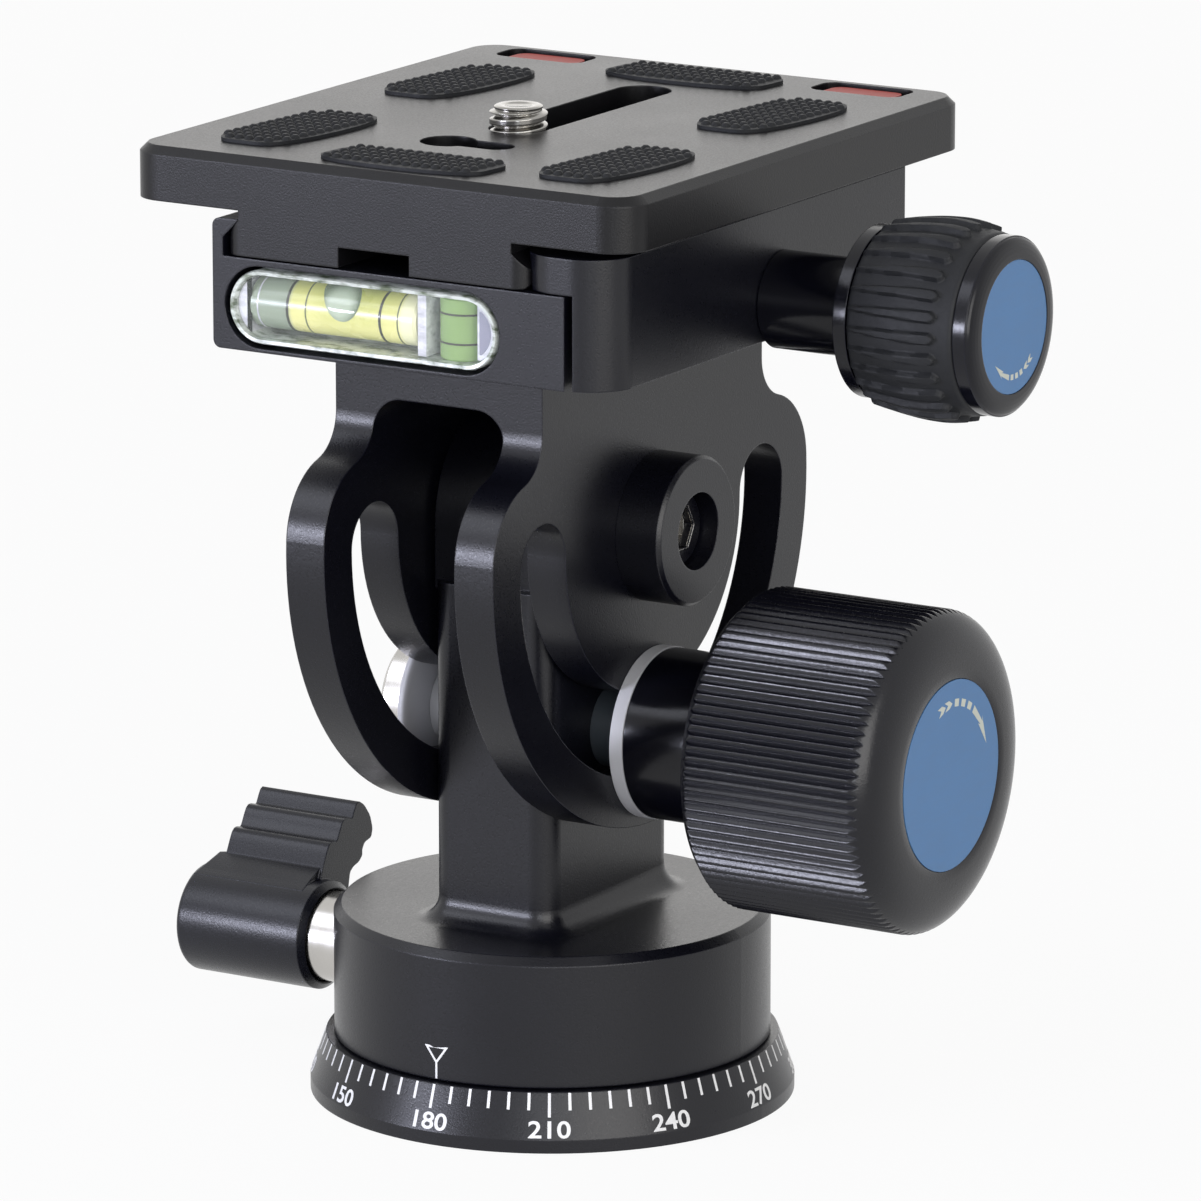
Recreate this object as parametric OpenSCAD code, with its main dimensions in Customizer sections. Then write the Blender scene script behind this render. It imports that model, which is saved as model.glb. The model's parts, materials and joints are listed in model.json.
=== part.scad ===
// Panoramic tripod head: panning base, tilting yoke, dovetail clamp with level, camera plate.
// Origin at the centre of the base's underside. +Z is up, +X runs along the tilt axis to the knobs,
// and -Y is the front, where the spirit level is.

/* [Base] */
// Diameter of the base disc
base_d = 54; // [50:0.5:60]
// Height of the upright rim of the base disc
base_rim_h = 1.5; // [1:0.1:2.5]
// Height of the base disc up to the top of its scale bevel
base_h = 6.4; // [6:0.1:8]
// Diameter of the scale bevel at its top
scale_top_d = 50.4; // [49.5:0.1:51]
// Depth of the relief under the base
base_relief_h = 0.5; // [0.3:0.1:0.8]
// Diameter of the tripod thread, three eighths of an inch
socket_d = 9.525; // [6.35:0.005:9.525]
// Depth of the tripod thread
socket_h = 9; // [8:0.5:10]
// Diameter of the bush that holds the tripod thread
socket_bush_d = 12.4; // [12:0.1:12.8]

/* [Pan bearing] */
// Diameter of the spindle's neck
spindle_neck_d = 22; // [20:0.5:23]
// Diameter of the spindle's flange, which the brake holds
spindle_flange_d = 31; // [29:0.5:33]
// Height of the spindle's flange
spindle_flange_h = 6.8; // [6:0.1:7.2]
// Depth that the spindle sits in the base
spindle_seat_h = 2.4; // [2:0.1:3]
// Diameter of the ring that keeps the housing on the spindle
ring_d = 38; // [36:0.5:40]
// Thickness of the retaining ring
ring_h = 2.7; // [2.2:0.1:3]
// Thickness of the thrust washer
thrust_h = 0.5; // [0.4:0.1:0.8]
// Diameter of the screws that hold the spindle on the base
spindle_screw_d = 3; // [2.5:0.5:3]
// Number of spindle screws
spindle_screws_n = 3; // [3:1:4]
// Distance of the spindle screws from the axis
spindle_screw_pos = 9.2; // [9.1:0.1:9.3]

/* [Pan housing] */
// Diameter of the drum
drum_d = 48.6; // [47:0.2:49.5]
// Height of the drum
drum_h = 14.6; // [14:0.2:17]
// Chamfer round the drum's top edge
drum_chamfer = 0.9; // [0.5:0.1:1.5]
// Width of the pillar along the tilt axis
pillar_w = 15.3; // [14.3:0.1:15.5]
// Depth of the pillar, front to back
pillar_l = 26.6; // [24:0.2:28]
// Radius of the pillar's upright edges
pillar_edge_r = 2.6; // [1.5:0.1:3.5]
// Radius of the fillet at the pillar's foot
pillar_foot_r = 2.6; // [1.5:0.1:3]
// Height of the pillar's shoulder above the base
pillar_shoulder_z = 59.4; // [56:0.2:62]
// Diameter of the pillar's round top, about the tilt axis
pillar_eye_d = 24; // [20:0.5:25]

/* [Pan lock] */
// Height of the pan lock's axis above the base
lock_z = 12.8; // [12.4:0.1:14]
// Diameter of the lock's steel stem
lock_stem_d = 10.2; // [9:0.1:10.8]
// Length of the stem between drum and lever
lock_stem_l = 5.6; // [4.5:0.1:8]
// Diameter of the lock's screw
lock_screw_d = 6; // [5:0.5:6]
// Diameter of the lever's barrel
lever_d = 12.4; // [12:0.1:14]
// Length of the lever's barrel
lever_l = 16.6; // [14:0.1:20]
// Reach of the lever's wing from its axis
wing_reach = 15.7; // [14:0.1:17]
// Length of the lever's wing along the axis
wing_l = 13; // [12:0.1:13.2]
// Distance of the wing's middle plane from the axis
wing_off = 2.6; // [1.5:0.1:3]
// Thickness of the lever's wing at its root
wing_root_t = 7.2; // [6:0.1:7.6]
// Thickness of the lever's wing at its tip
wing_tip_t = 5.6; // [4.6:0.1:6]
// Depth of the steps in the wing
wing_step = 0.9; // [0.5:0.1:1.2]
// Distance between two steps in the wing
wing_pitch = 3.5; // [3:0.1:3.8]
// Radius of the wing's tip
wing_tip_r = 4; // [3.8:0.1:5]
// Angle of the wing above the horizontal, at rest
wing_angle = 39; // [30:1:90]
// Thickness of the brake shoe
shoe_l = 3.2; // [2.5:0.1:3.6]

/* [Tilt yoke] */
// Height of the tilt axis above the base
pivot_z = 65.5; // [63:0.1:68]
// Outer width of the yoke
yoke_w = 26.2; // [25.8:0.2:28.4]
// Thickness of each cheek plate
cheek_t = 4.85; // [4.35:0.05:4.9]
// Radius of the cheek plates about the tilt axis
yoke_r = 33.4; // [31.5:0.1:34]
// Depth of the yoke's neck, front to back
neck_l = 46.6; // [45:0.2:48]
// Radius of the cheek's shoulder
cheek_shoulder_r = 8.6; // [7:0.1:9.5]
// Radius of the fillet between neck and shoulder
neck_fillet_r = 5; // [4:0.1:5.5]
// Thickness of the bridge that joins the cheeks
bridge_h = 6.5; // [5.5:0.1:7]
// Radius of the opening's upper corners
opening_r = 3.5; // [2:0.1:5]
// Height of the yoke's top above the tilt axis
yoke_top_h = 22.8; // [22:0.1:25]
// Radius of the tilt slot's centre line
slot_r = 23.2; // [22.4:0.1:23.6]
// Width of the tilt slot
slot_w = 9.3; // [9.1:0.1:9.8]

/* [Pivot] */
// Diameter of the pivot pin
pivot_d = 8; // [7:0.5:8.5]
// Outer diameter of the flanged bushes
pivot_bush_d = 11; // [10:0.5:12]
// Diameter of the bushes' flange
pivot_flange_d = 16; // [14:0.5:18]
// Diameter of the pivot caps
cap_d = 16.6; // [15:0.2:18]
// Height of the pivot caps
cap_h = 5.6; // [5.3:0.1:6]
// Diameter of the well in the caps
cap_well_d = 8.6; // [8:0.1:9]
// Depth of the well in the caps
cap_well_h = 4.6; // [4:0.1:4.8]
// Diameter of the pivot screws
pivot_screw_d = 4; // [3:0.5:4]
// Height of the pivot screws' heads
pivot_head_h = 1.4; // [1.2:0.1:2]

/* [Tilt lock] */
// Diameter of the clamping bolt
bolt_d = 6; // [5:0.5:6.5]
// Diameter of the bolt's head
bolt_head_d = 14.4; // [13:0.2:16]
// Height of the bolt's head
bolt_head_h = 3.6; // [3:0.1:5]
// Diameter of the pale washer under the bolt's head
bolt_washer_d = 18; // [16:0.2:19]
// Thickness of the pale washer under the bolt's head
bolt_washer_t = 1.5; // [1:0.1:2]
// Reach of the right bush beyond the pillar
right_bush_l = 3.4; // [2.5:0.1:5]
// Diameter of the right bush's outer end
sleeve_d = 8.6; // [8.2:0.1:8.8]
// Diameter of the pale washer under the knob
knob_washer_d = 19.2; // [18:0.2:20]
// Thickness of the pale washer
knob_washer_t = 1.6; // [1:0.1:2]
// Diameter of the knob's collar
collar_d = 19; // [17:0.2:20]
// Length of the knob's collar
collar_l = 11.6; // [10:0.1:14]
// Diameter of the knob across its ridges
knob_d = 35.6; // [33:0.2:38]
// Length of the knob
knob_l = 24.1; // [21:0.1:26]
// Depth of the knob's ridges
knob_ridge_h = 0.55; // [0.3:0.05:0.8]
// Number of ridges round the knob
knob_ridges = 96; // [80:2:120]
// Width of the knob's rounded front edge, across the axis
knob_round_r = 6; // [4:0.1:6.4]
// Depth of the knob's rounded front edge, along the axis
knob_round_l = 3.2; // [2:0.1:4]
// Diameter of the disc in the knob's face
knob_disc_d = 21; // [19:0.2:22]
// Thickness of the discs in both knobs
disc_t = 0.5; // [0.4:0.1:0.8]
// Diameter of the threaded insert in the knob
insert_d = 14; // [12:0.5:16]
// Length of the threaded insert
insert_l = 16; // [14:0.5:17]

/* [Clamp] */
// Front of the clamp, ahead of the tilt axis
clamp_front = 36.1; // [35:0.1:38]
// Back of the clamp, behind the tilt axis
clamp_back = 27.1; // [25:0.1:30]
// Distance of the fixed jaw's outer face from the centre
clamp_left = 20.4; // [20.3:0.1:22]
// Distance of the clamp base's right face from the centre
clamp_right = 23.6; // [22.4:0.1:24]
// Height of the clamp's floor above its underside
clamp_floor_h = 10.1; // [9.9:0.1:11]
// Height of the jaws above the clamp's floor
jaw_rise = 4.1; // [3.8:0.1:4.3]
// Thickness of the moving jaw's leg
jaw_t = 4.4; // [4:0.1:5]
// Gap between clamp base and moving jaw
jaw_gap = 1; // [1:0.1:1.6]
// Radius of the moving jaw's front edges
jaw_edge_r = 5; // [2:0.1:5.4]
// Diameter of the jaw's guide pins
guide_d = 4; // [3:0.5:4]
// Distance of the guide pins from the centre
guide_pos = 18; // [14:0.5:21]
// Diameter of the screws that hold the clamp on the yoke
clamp_screw_d = 3; // [2.5:0.5:3.5]
// Distance of the clamp screws from the centre, along the tilt axis
clamp_screw_x = 9.8; // [9.5:0.1:10]
// Distance of the clamp screws from the centre, front to back
clamp_screw_y = 16; // [13:0.5:18]

/* [Level] */
// Left end of the level, from the centre
level_left = 18.9; // [18.5:0.1:19.1]
// Right end of the level, from the centre
level_right = 15.7; // [15:0.1:16.5]
// Height of the level's window
level_h = 9; // [8.6:0.1:9.1]
// Depth of the level's recess
level_depth = 7.2; // [7.1:0.1:8]
// Diameter of the long vial
vial_d = 6; // [5.5:0.1:6.4]
// Length of the long vial
vial_l = 21; // [18:0.5:21.5]
// Middle of the long vial, left of the centre
vial_pos = 5.9; // [5.6:0.1:6.1]
// Height of the long vial above the middle of the window
vial_rise = 0.4; // [0:0.1:0.6]
// Diameter of the short vial
short_vial_d = 4.8; // [4:0.1:5]
// Length of the short vial
short_vial_l = 6.8; // [6:0.1:7]
// Middle of the short vial, right of the centre
short_vial_pos = 9.9; // [9.5:0.1:11]

/* [Clamp knob] */
// Height of the clamp knob's axis above the clamp's underside
qr_axis_h = 4.15; // [4:0.05:5]
// Diameter of the draw screw
qr_screw_d = 6; // [5:0.5:6]
// Diameter of the knob's neck
qr_neck_d = 10.7; // [9.5:0.1:12]
// Length of the knob's neck
qr_neck_l = 11.6; // [10:0.1:14]
// Diameter of the flange behind the grip
qr_flange_d = 18.8; // [17:0.2:20]
// Thickness of the flange behind the grip
qr_flange_t = 1.5; // [1:0.1:2]
// Length of the rubber grip
qr_grip_l = 13.2; // [12:0.1:15]
// Diameter of the grip at its ends
qr_grip_end_d = 19.4; // [18.8:0.1:20]
// Diameter of the grip at its widest
qr_grip_mid_d = 21.8; // [21:0.1:23]
// Number of ribs on the grip
qr_ribs = 26; // [18:1:30]
// Wall of the rubber grip at its ends
qr_grip_wall = 2.2; // [1.6:0.1:2.6]
// Diameter of the front cap
qr_cap_d = 19.4; // [18.6:0.2:21]
// Height of the front cap
qr_cap_h = 2.2; // [1.9:0.1:3]
// Diameter of the disc in the front cap
qr_disc_d = 14.4; // [13:0.2:15.6]

/* [Camera plate] */
// Width of the camera plate
plate_w = 63; // [58:0.5:66]
// Front of the plate, ahead of the tilt axis
plate_front = 36.1; // [35:0.1:38]
// Back of the plate, behind the tilt axis
plate_back = 36.8; // [36:0.1:42]
// Thickness of the plate's flange
flange_h = 5.9; // [5:0.1:7]
// Radius of the plate's corners
plate_corner_r = 4; // [3:0.1:5]
// Chamfer round the plate's top edge
plate_chamfer = 0.9; // [0.5:0.1:1.2]
// Width of the dovetail at its widest
dovetail_w = 38; // [37.4:0.1:38.2]
// Depth of the dovetail's slanting sides
dovetail_slant = 1.9; // [1.5:0.1:2.2]
// Gap between the flange and the jaws
flange_gap = 1; // [0.6:0.1:1.4]
// Width of the channel under the plate
channel_w = 8.9; // [8.6:0.1:10]
// Depth of the channel under the plate
channel_h = 2.2; // [2.1:0.1:3]
// Width of the camera screw's slot
screw_slot_w = 6.6; // [6.5:0.1:7]
// Front end of the slot, ahead of the tilt axis
screw_slot_front = 10.1; // [9:0.1:12]
// Back end of the slot, behind the tilt axis
screw_slot_back = 22.5; // [18:0.5:22.5]
// Diameter of the keyhole's round end
keyhole_d = 6.2; // [5:0.1:6.6]
// Width of the keyhole's tail
keyhole_tail_w = 3.8; // [2:0.1:4.2]
// Length of the keyhole
keyhole_l = 11.2; // [9:0.1:12]
// Distance of the keyhole ahead of the tilt axis
keyhole_pos = 17.1; // [16.5:0.1:19]
// Width of the plate's windows
window_w = 11.4; // [10:0.1:12]
// Depth of the plate's windows, front to back
window_l = 5.2; // [4:0.1:5.4]
// Distance of the windows from the centre line
window_x = 20.5; // [19.5:0.1:21.5]
// Distance of the windows behind the tilt axis
window_y = 32.4; // [31:0.1:32.8]
// Depth of the red bars below the plate's top
bar_sink = 0.35; // [0.2:0.05:1]
// Length of the red bars' heads
bar_l = 8.8; // [7:0.1:9.4]
// Width of the red bars' heads, front to back
bar_w = 4.2; // [3:0.1:4.6]
// Radius of the windows' corners
window_r = 1.6; // [1:0.1:1.9]

/* [Pads] */
// Width of the side pads
side_pad_w = 10; // [9:0.1:12]
// Length of the side pads
side_pad_l = 19.6; // [18:0.2:22]
// Distance of the side pads from the centre line
side_pad_x = 19.6; // [18.6:0.1:20.4]
// Distance of the front side pads ahead of the tilt axis
side_pad_front = 20.1; // [19:0.1:21]
// Distance of the back side pads behind the tilt axis
side_pad_back = 12.6; // [11:0.1:14]
// Width of the end pads, front to back
end_pad_w = 9; // [8:0.1:11]
// Length of the end pads
end_pad_l = 20; // [18:0.2:23]
// Distance of the front end pad ahead of the tilt axis
end_pad_front = 29.6; // [28.4:0.1:30]
// Distance of the back end pad behind the tilt axis
end_pad_back = 29; // [28:0.1:30]
// Radius of the pads' corners
pad_corner_r = 3.4; // [2.5:0.1:4]
// Bow of the pads' long sides, as their radius over the pad's length
pad_bow = 1.3; // [1:0.05:2]
// Thickness of the pads above the plate
pad_h = 0.8; // [0.5:0.1:1.2]

/* [Camera screw] */
// Diameter of the camera thread, a quarter inch
camera_d = 6.35; // [6.3:0.01:6.4]
// Height of the camera screw above the plate
camera_h = 2.6; // [2:0.1:6]
// Diameter of the camera screw's neck
camera_neck_d = 5.2; // [4.5:0.1:5.6]
// Diameter of the camera screw's head
camera_head_d = 8.4; // [8:0.1:8.5]
// Height of the camera screw's head
camera_head_h = 1.6; // [1.2:0.1:1.7]
// Place of the camera screw ahead of the tilt axis
camera_pos = 6.8; // [6:0.1:8]

/* [Fits] */
// Radial clearance of shafts that turn in bores
running = 0.04; // [0.02:0.01:0.08]
// Radial clearance of pieces that are fastened together
seat = 0.01; // [0.005:0.005:0.02]
// Gap between flat faces that slide
slide = 0.1; // [0.05:0.01:0.15]
// Gap between bodies that only pass each other
pass = 0.2; // [0.15:0.01:0.3]

/* [Hidden] */
$fn = 96;
eps = 0.01;
far = 200;

// Heights of the pan bearing, from the base up
drum_z = base_h + pass;
drum_top = drum_z + drum_h;
spindle_z = base_h - spindle_seat_h;
ring_z = drum_z + pass;
ring_top = ring_z + ring_h;
thrust_z = ring_top + running;
flange_z = thrust_z + thrust_h + running;
flange_top = flange_z + spindle_flange_h;
bore_top = flange_top + pass;
base_recess_r = spindle_neck_d / 2 + seat;
relief_r = socket_bush_d / 2 + 2;
relief_out_r = base_d / 2 - 6;
screw_head_r = 0.8 * spindle_screw_d;
screw_head_h = spindle_screw_d / 2;

// Pan lock, along -X from the drum
lock_x0 = -drum_d / 2 - pass;
lock_x1 = lock_x0 - lock_stem_l;
lever_x1 = lock_x1 - lever_l;
lever_round = 0.7;
lever_chamfer = 0.7;
lever_mouth = 0.8;
spigot_d = 7.6;
spigot_l = 11;
grub_d = 3;
shoe_x = -spindle_flange_d / 2 - slide;
lock_bore_d = lock_screw_d + 2 * running;
wing_x1 = lock_x1 - 0.9;
wing_steps = 2;
wing_fall = 0.9;
wing_crest = 0.3;
wing_ease = 0.1;

// Yoke, heights about the tilt axis
cheek_in = yoke_w / 2 - cheek_t;
opening_top = yoke_top_h - bridge_h;
bolt_z = pivot_z - slot_r;
cheek_shoulder_angle = 3;
shoulder_arm = yoke_r - cheek_shoulder_r;
shoulder_y = shoulder_arm * cos(cheek_shoulder_angle);
shoulder_z = shoulder_arm * sin(cheek_shoulder_angle);
fillet_y = neck_l / 2 + neck_fillet_r;
fillet_arm = cheek_shoulder_r + neck_fillet_r;
fillet_z = shoulder_z + sqrt(pow(fillet_arm, 2) - pow(fillet_y - shoulder_y, 2));
fillet_share = cheek_shoulder_r / fillet_arm;
clamp_screw_tap = 8;

// Pivot, outwards along X
bush_flange_t = cheek_in - pillar_w / 2 - slide;
bush_l = 5;
cap_bevel = 0.4;
pivot_tap = 8;
pivot_head_d = cap_well_d - 0.4;
pivot_hex_h = pivot_head_h - 0.4;

// Tilt lock, outwards along X
cheek_out = yoke_w / 2;
knob_washer_x = cheek_out + slide / 2;
collar_x = knob_washer_x + knob_washer_t + slide / 2;
knob_x = collar_x + collar_l;
knob_end = knob_x + knob_l;
knob_bevel = 0.8;
ridge_foot = 0.1;
knob_band_x = knob_x + knob_bevel;
knob_round_x = knob_end - knob_round_l;
bolt_washer_x = -cheek_out - slide / 2 - bolt_washer_t;
bolt_head_x = bolt_washer_x - bolt_head_h;
bolt_end = knob_x + insert_l - 2;
slot_bush_d = slot_w - 2 * running - 0.06;
bolt_hex_d = 6.6;
bolt_hex_h = 2.2;

// Clamp, heights above the base
clamp_z = pivot_z + yoke_top_h;
floor_z = clamp_z + clamp_floor_h;
jaw_top = floor_z + jaw_rise;
dove_z = floor_z + pass;
dove_low = 1.9;
dove_r = dovetail_w / 2;
dove_neck_r = dove_r - dovetail_slant;
slant_z = dove_z + dove_low;
neck_z = slant_z + dovetail_slant;
clamp_corner = 0.9;
jaw_x = clamp_right + jaw_gap;
jaw_out = jaw_x + jaw_t;
clamp_l = clamp_front + clamp_back;
guide_z = clamp_z + 4.2;
guide_in = 11;
guide_tip = 0.9;
clamp_head_d = 5.5;
clamp_head_h = 3;
clamp_sink = 4;
clamp_screw_l = clamp_floor_h - clamp_sink + clamp_screw_tap - 1;

// Level, in the front of the clamp
level_z = clamp_z + 0.4 + level_h / 2;
level_y = -clamp_front;
vial_y = level_y + 3.6;
level_fit = 0.08;

// Clamp knob, outwards along X
qr_z = clamp_z + qr_axis_h;
qr_neck_x = jaw_out + slide;
qr_flange_x = qr_neck_x + qr_neck_l;
qr_grip_x = qr_flange_x + qr_flange_t;
qr_cap_x = qr_grip_x + qr_grip_l;
qr_end = qr_cap_x + qr_cap_h;
qr_hub_d = qr_grip_end_d - 2 * qr_grip_wall;
qr_screw_in = 15;
qr_clip_d = 9;
qr_clip_t = 0.6;
qr_clip_x = jaw_x - pass - qr_clip_t;
qr_lip_h = 0.75;
qr_lip_step = 0.12;
qr_lip_land = 0.25;
rib_groove = 0.9;

// Camera plate, heights above the base
flange_bottom = jaw_top + flange_gap;
plate_top = flange_bottom + flange_h;
plate_l = plate_front + plate_back;
plate_y = (plate_back - plate_front) / 2;
web_z = dove_z + channel_h;
dove_foot = 0.6;
bar_step = 1.6;
bar_foot_h = 1.8;
bar_r = 1.4;
camera_tip = 0.4;
camera_washer_t = 0.4;
camera_head_z = web_z - slide / 2 - camera_washer_t - slide / 2 - camera_head_h;
camera_thread_z = plate_top + 0.05;
coin_w = 1.4;
coin_h = 0.7;

black = [0.10, 0.10, 0.12];
satin = [0.14, 0.14, 0.17];
steel = [0.75, 0.75, 0.73];
rubber = [0.16, 0.17, 0.18];
blue = [0.33, 0.51, 0.69];

// Cylinder along X between two places, centred on the X axis
module xcyl(d, x0, x1) {
    translate([min(x0, x1), 0, 0])
        rotate([0, 90, 0])
            cylinder(d = d, h = abs(x1 - x0));
}

// Solid of revolution about X from points of radius and place along X
module xrev(points) {
    rotate([0, 90, 0])
        rotate_extrude()
            polygon(points);
}

// Extrudes a shape drawn in Y and Z along X between two places
module along_x(x0, x1) {
    translate([min(x0, x1), 0, 0])
        rotate([90, 0, 90])
            linear_extrude(abs(x1 - x0))
                children();
}

// Extrudes a shape drawn in X and Z along Y between two places
module along_y(y0, y1) {
    translate([0, max(y0, y1), 0])
        rotate([90, 0, 0])
            linear_extrude(abs(y1 - y0))
                children();
}

// Copies the children to both sides of the YZ plane
module both_x() {
    children();
    mirror([1, 0, 0])
        children();
}

// Copies the children to both sides of the XZ plane
module both_y() {
    children();
    mirror([0, 1, 0])
        children();
}

// Rectangle of w by l with round corners
module round_rect(w, l, r) {
    square([w - 2 * r, l], center = true);
    square([w, l - 2 * r], center = true);
    for (sx = [-1, 1], sy = [-1, 1])
        translate([sx * (w / 2 - r), sy * (l / 2 - r)])
            circle(r);
}

// Slab with round corners and a chamfered top edge
module chamfered_slab(w, l, h, r, c) {
    linear_extrude(h - c)
        round_rect(w, l, r);
    translate([0, 0, h - c]) {
        for (sx = [-1, 1], sy = [-1, 1])
            translate([sx * (w / 2 - r), sy * (l / 2 - r), 0])
                cylinder(r1 = r, r2 = r - c, h = c);
        along_y(-(l / 2 - r), l / 2 - r)
            polygon([[-w / 2, 0], [w / 2, 0], [w / 2 - c, c], [-w / 2 + c, c]]);
        along_x(-(w / 2 - r), w / 2 - r)
            polygon([[-l / 2, 0], [l / 2, 0], [l / 2 - c, c], [-l / 2 + c, c]]);
    }
}

// Outline of a pad: a rectangle with round corners and bowed long sides
module pad_outline(w, l) {
    side_r = pad_bow * l;
    intersection() {
        translate([side_r - w / 2, 0])
            circle(side_r);
        translate([w / 2 - side_r, 0])
            circle(side_r);
        round_rect(w, l, pad_corner_r);
    }
}

// Base disc with the bevel that carries the degree scale
module base_disc() {
    color(black)
        difference() {
            rotate_extrude()
                polygon([
                    [0, 0], [base_d / 2, 0], [base_d / 2, base_rim_h],
                    [scale_top_d / 2, base_h], [0, base_h]
                ]);
            translate([0, 0, spindle_z])
                cylinder(r = base_recess_r, h = spindle_seat_h + eps);
            translate([0, 0, -eps])
                cylinder(d = socket_bush_d + 2 * seat, h = base_h);
            translate([0, 0, -eps])
                difference() {
                    cylinder(r = relief_out_r, h = base_relief_h + eps);
                    cylinder(r = relief_r, h = base_relief_h + eps);
                }
            spindle_screw_places() {
                translate([0, 0, -eps])
                    cylinder(d = spindle_screw_d + 2 * running, h = base_h);
                translate([0, 0, -eps])
                    cylinder(r = screw_head_r + running, h = base_relief_h + screw_head_h + eps);
            }
        }
}

module spindle_screw_places() {
    for (i = [0 : spindle_screws_n - 1])
        rotate(90 + i * 360 / spindle_screws_n)
            translate([spindle_screw_pos, 0, 0])
                children();
}

// Bush with the tripod thread, flush with the underside
module tripod_bush() {
    color(steel)
        difference() {
            cylinder(d = socket_bush_d, h = socket_h);
            translate([0, 0, -eps])
                cylinder(d = socket_d, h = socket_h + 2 * eps);
        }
}

// Spindle that the housing turns on
module pan_spindle() {
    color(steel)
        difference() {
            union() {
                translate([0, 0, spindle_z])
                    cylinder(d = spindle_neck_d, h = flange_z - spindle_z + eps);
                translate([0, 0, flange_z])
                    cylinder(d = spindle_flange_d, h = spindle_flange_h);
            }
            translate([0, 0, spindle_z - eps])
                cylinder(d = socket_bush_d + 2 * seat, h = socket_h - spindle_z + 2 * eps);
            spindle_screw_places()
                translate([0, 0, spindle_z - eps])
                    cylinder(d = spindle_screw_d + 2 * seat, h = flange_top - spindle_z - 1);
        }
}

// Screws that hold the spindle on the base
module spindle_screws() {
    color(steel)
        spindle_screw_places() {
            translate([0, 0, base_relief_h])
                cylinder(r = screw_head_r, h = screw_head_h);
            translate([0, 0, base_relief_h])
                cylinder(d = spindle_screw_d, h = flange_z - base_relief_h);
        }
}

// Washer between the retaining ring and the spindle's flange
module thrust_washer() {
    color("white")
        translate([0, 0, thrust_z])
            difference() {
                cylinder(d = spindle_flange_d - 1, h = thrust_h);
                translate([0, 0, -eps])
                    cylinder(d = spindle_neck_d + 0.4, h = thrust_h + 2 * eps);
            }
}

// Ring in the drum's mouth that keeps the housing on the spindle
module retaining_ring() {
    color(steel)
        translate([0, 0, ring_z])
            difference() {
                cylinder(d = ring_d, h = ring_h);
                translate([0, 0, -eps])
                    cylinder(d = spindle_neck_d + 2 * running, h = ring_h + 2 * eps);
            }
}

// Pillar in plan
module pillar_plan() {
    round_rect(pillar_w, pillar_l, pillar_edge_r);
}

// Concave fillet in section: the corner of a square outside a circle
module foot_section(r) {
    difference() {
        translate([-eps, -eps])
            square(r + eps);
        translate([r, r])
            circle(r);
    }
}

// Fillet round the pillar's foot: four straight runs and four turned corners
module pillar_foot() {
    run_x = pillar_w / 2 - pillar_edge_r;
    run_y = pillar_l / 2 - pillar_edge_r;
    both_x()
        along_y(-run_y, run_y)
            translate([pillar_w / 2, 0])
                foot_section(pillar_foot_r);
    both_y()
        along_x(-run_x, run_x)
            translate([pillar_l / 2, 0])
                foot_section(pillar_foot_r);
    for (i = [0 : 3])
        translate([(i == 0 || i == 3 ? 1 : -1) * run_x, (i < 2 ? 1 : -1) * run_y, 0])
            rotate(90 * i)
                rotate_extrude(angle = 90)
                    translate([pillar_edge_r, 0])
                        foot_section(pillar_foot_r);
}

// Drum and pillar in one piece, with the bores of the bearing, the lock, the bolt and the pivot
module pan_housing() {
    color(black)
        difference() {
            union() {
                translate([0, 0, drum_z])
                    cylinder(d = drum_d, h = drum_h - drum_chamfer);
                translate([0, 0, drum_top - drum_chamfer])
                    cylinder(d1 = drum_d, d2 = drum_d - 2 * drum_chamfer, h = drum_chamfer);
                translate([0, 0, drum_top - 1])
                    linear_extrude(pillar_shoulder_z - drum_top + 1)
                        pillar_plan();
                translate([0, 0, drum_top])
                    pillar_foot();
                along_x(-pillar_w / 2, pillar_w / 2) {
                    translate([-pillar_eye_d / 2, pillar_shoulder_z - 1])
                        square([pillar_eye_d, pivot_z - pillar_shoulder_z + 1]);
                    translate([0, pivot_z])
                        circle(d = pillar_eye_d);
                }
            }
            translate([0, 0, drum_z - eps])
                cylinder(d = ring_d + 2 * seat, h = ring_top - drum_z + eps);
            translate([0, 0, drum_z])
                cylinder(d = spindle_flange_d + 2 * running, h = bore_top - drum_z);
            translate([0, 0, lock_z])
                xcyl(lock_bore_d, -drum_d, 0);
            translate([0, 0, bolt_z])
                xcyl(bolt_d + 2 * seat, -pillar_w, pillar_w);
            translate([0, 0, pivot_z])
                xcyl(pivot_bush_d + 2 * seat, -pillar_w, pillar_w);
        }
}

// Shoe that the lock presses against the spindle's flange
module brake_shoe() {
    color([0.72, 0.55, 0.28])
        difference() {
            translate([0, 0, lock_z])
                xcyl(lock_screw_d - 0.1, shoe_x - shoe_l, shoe_x + 1);
            cylinder(d = spindle_flange_d + 2 * slide, h = far);
        }
}

// Lock screw with its steel stem and the spigot that carries the lever
module pan_lock_stem() {
    color(steel)
        translate([0, 0, lock_z]) {
            xcyl(lock_screw_d, shoe_x - shoe_l - slide, lock_x0 - 1);
            xcyl(lock_stem_d, lock_x0, lock_x1 - lever_mouth);
            xcyl(spigot_d, lock_x1, lock_x1 - spigot_l);
        }
}

// Upper edge of the wing's section: each step rises to a crest and falls again
function wing_edge() = [
    for (i = [0 : wing_steps])
        let (
            crest = wing_reach - (wing_steps - i) * wing_pitch,
            half = (wing_root_t + (wing_tip_t - wing_root_t) * i / wing_steps) / 2
        )
            each [
                [crest - wing_pitch + wing_fall, half - wing_step],
                [crest - wing_crest, half],
                [crest, half - wing_ease]
            ]
];

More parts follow.
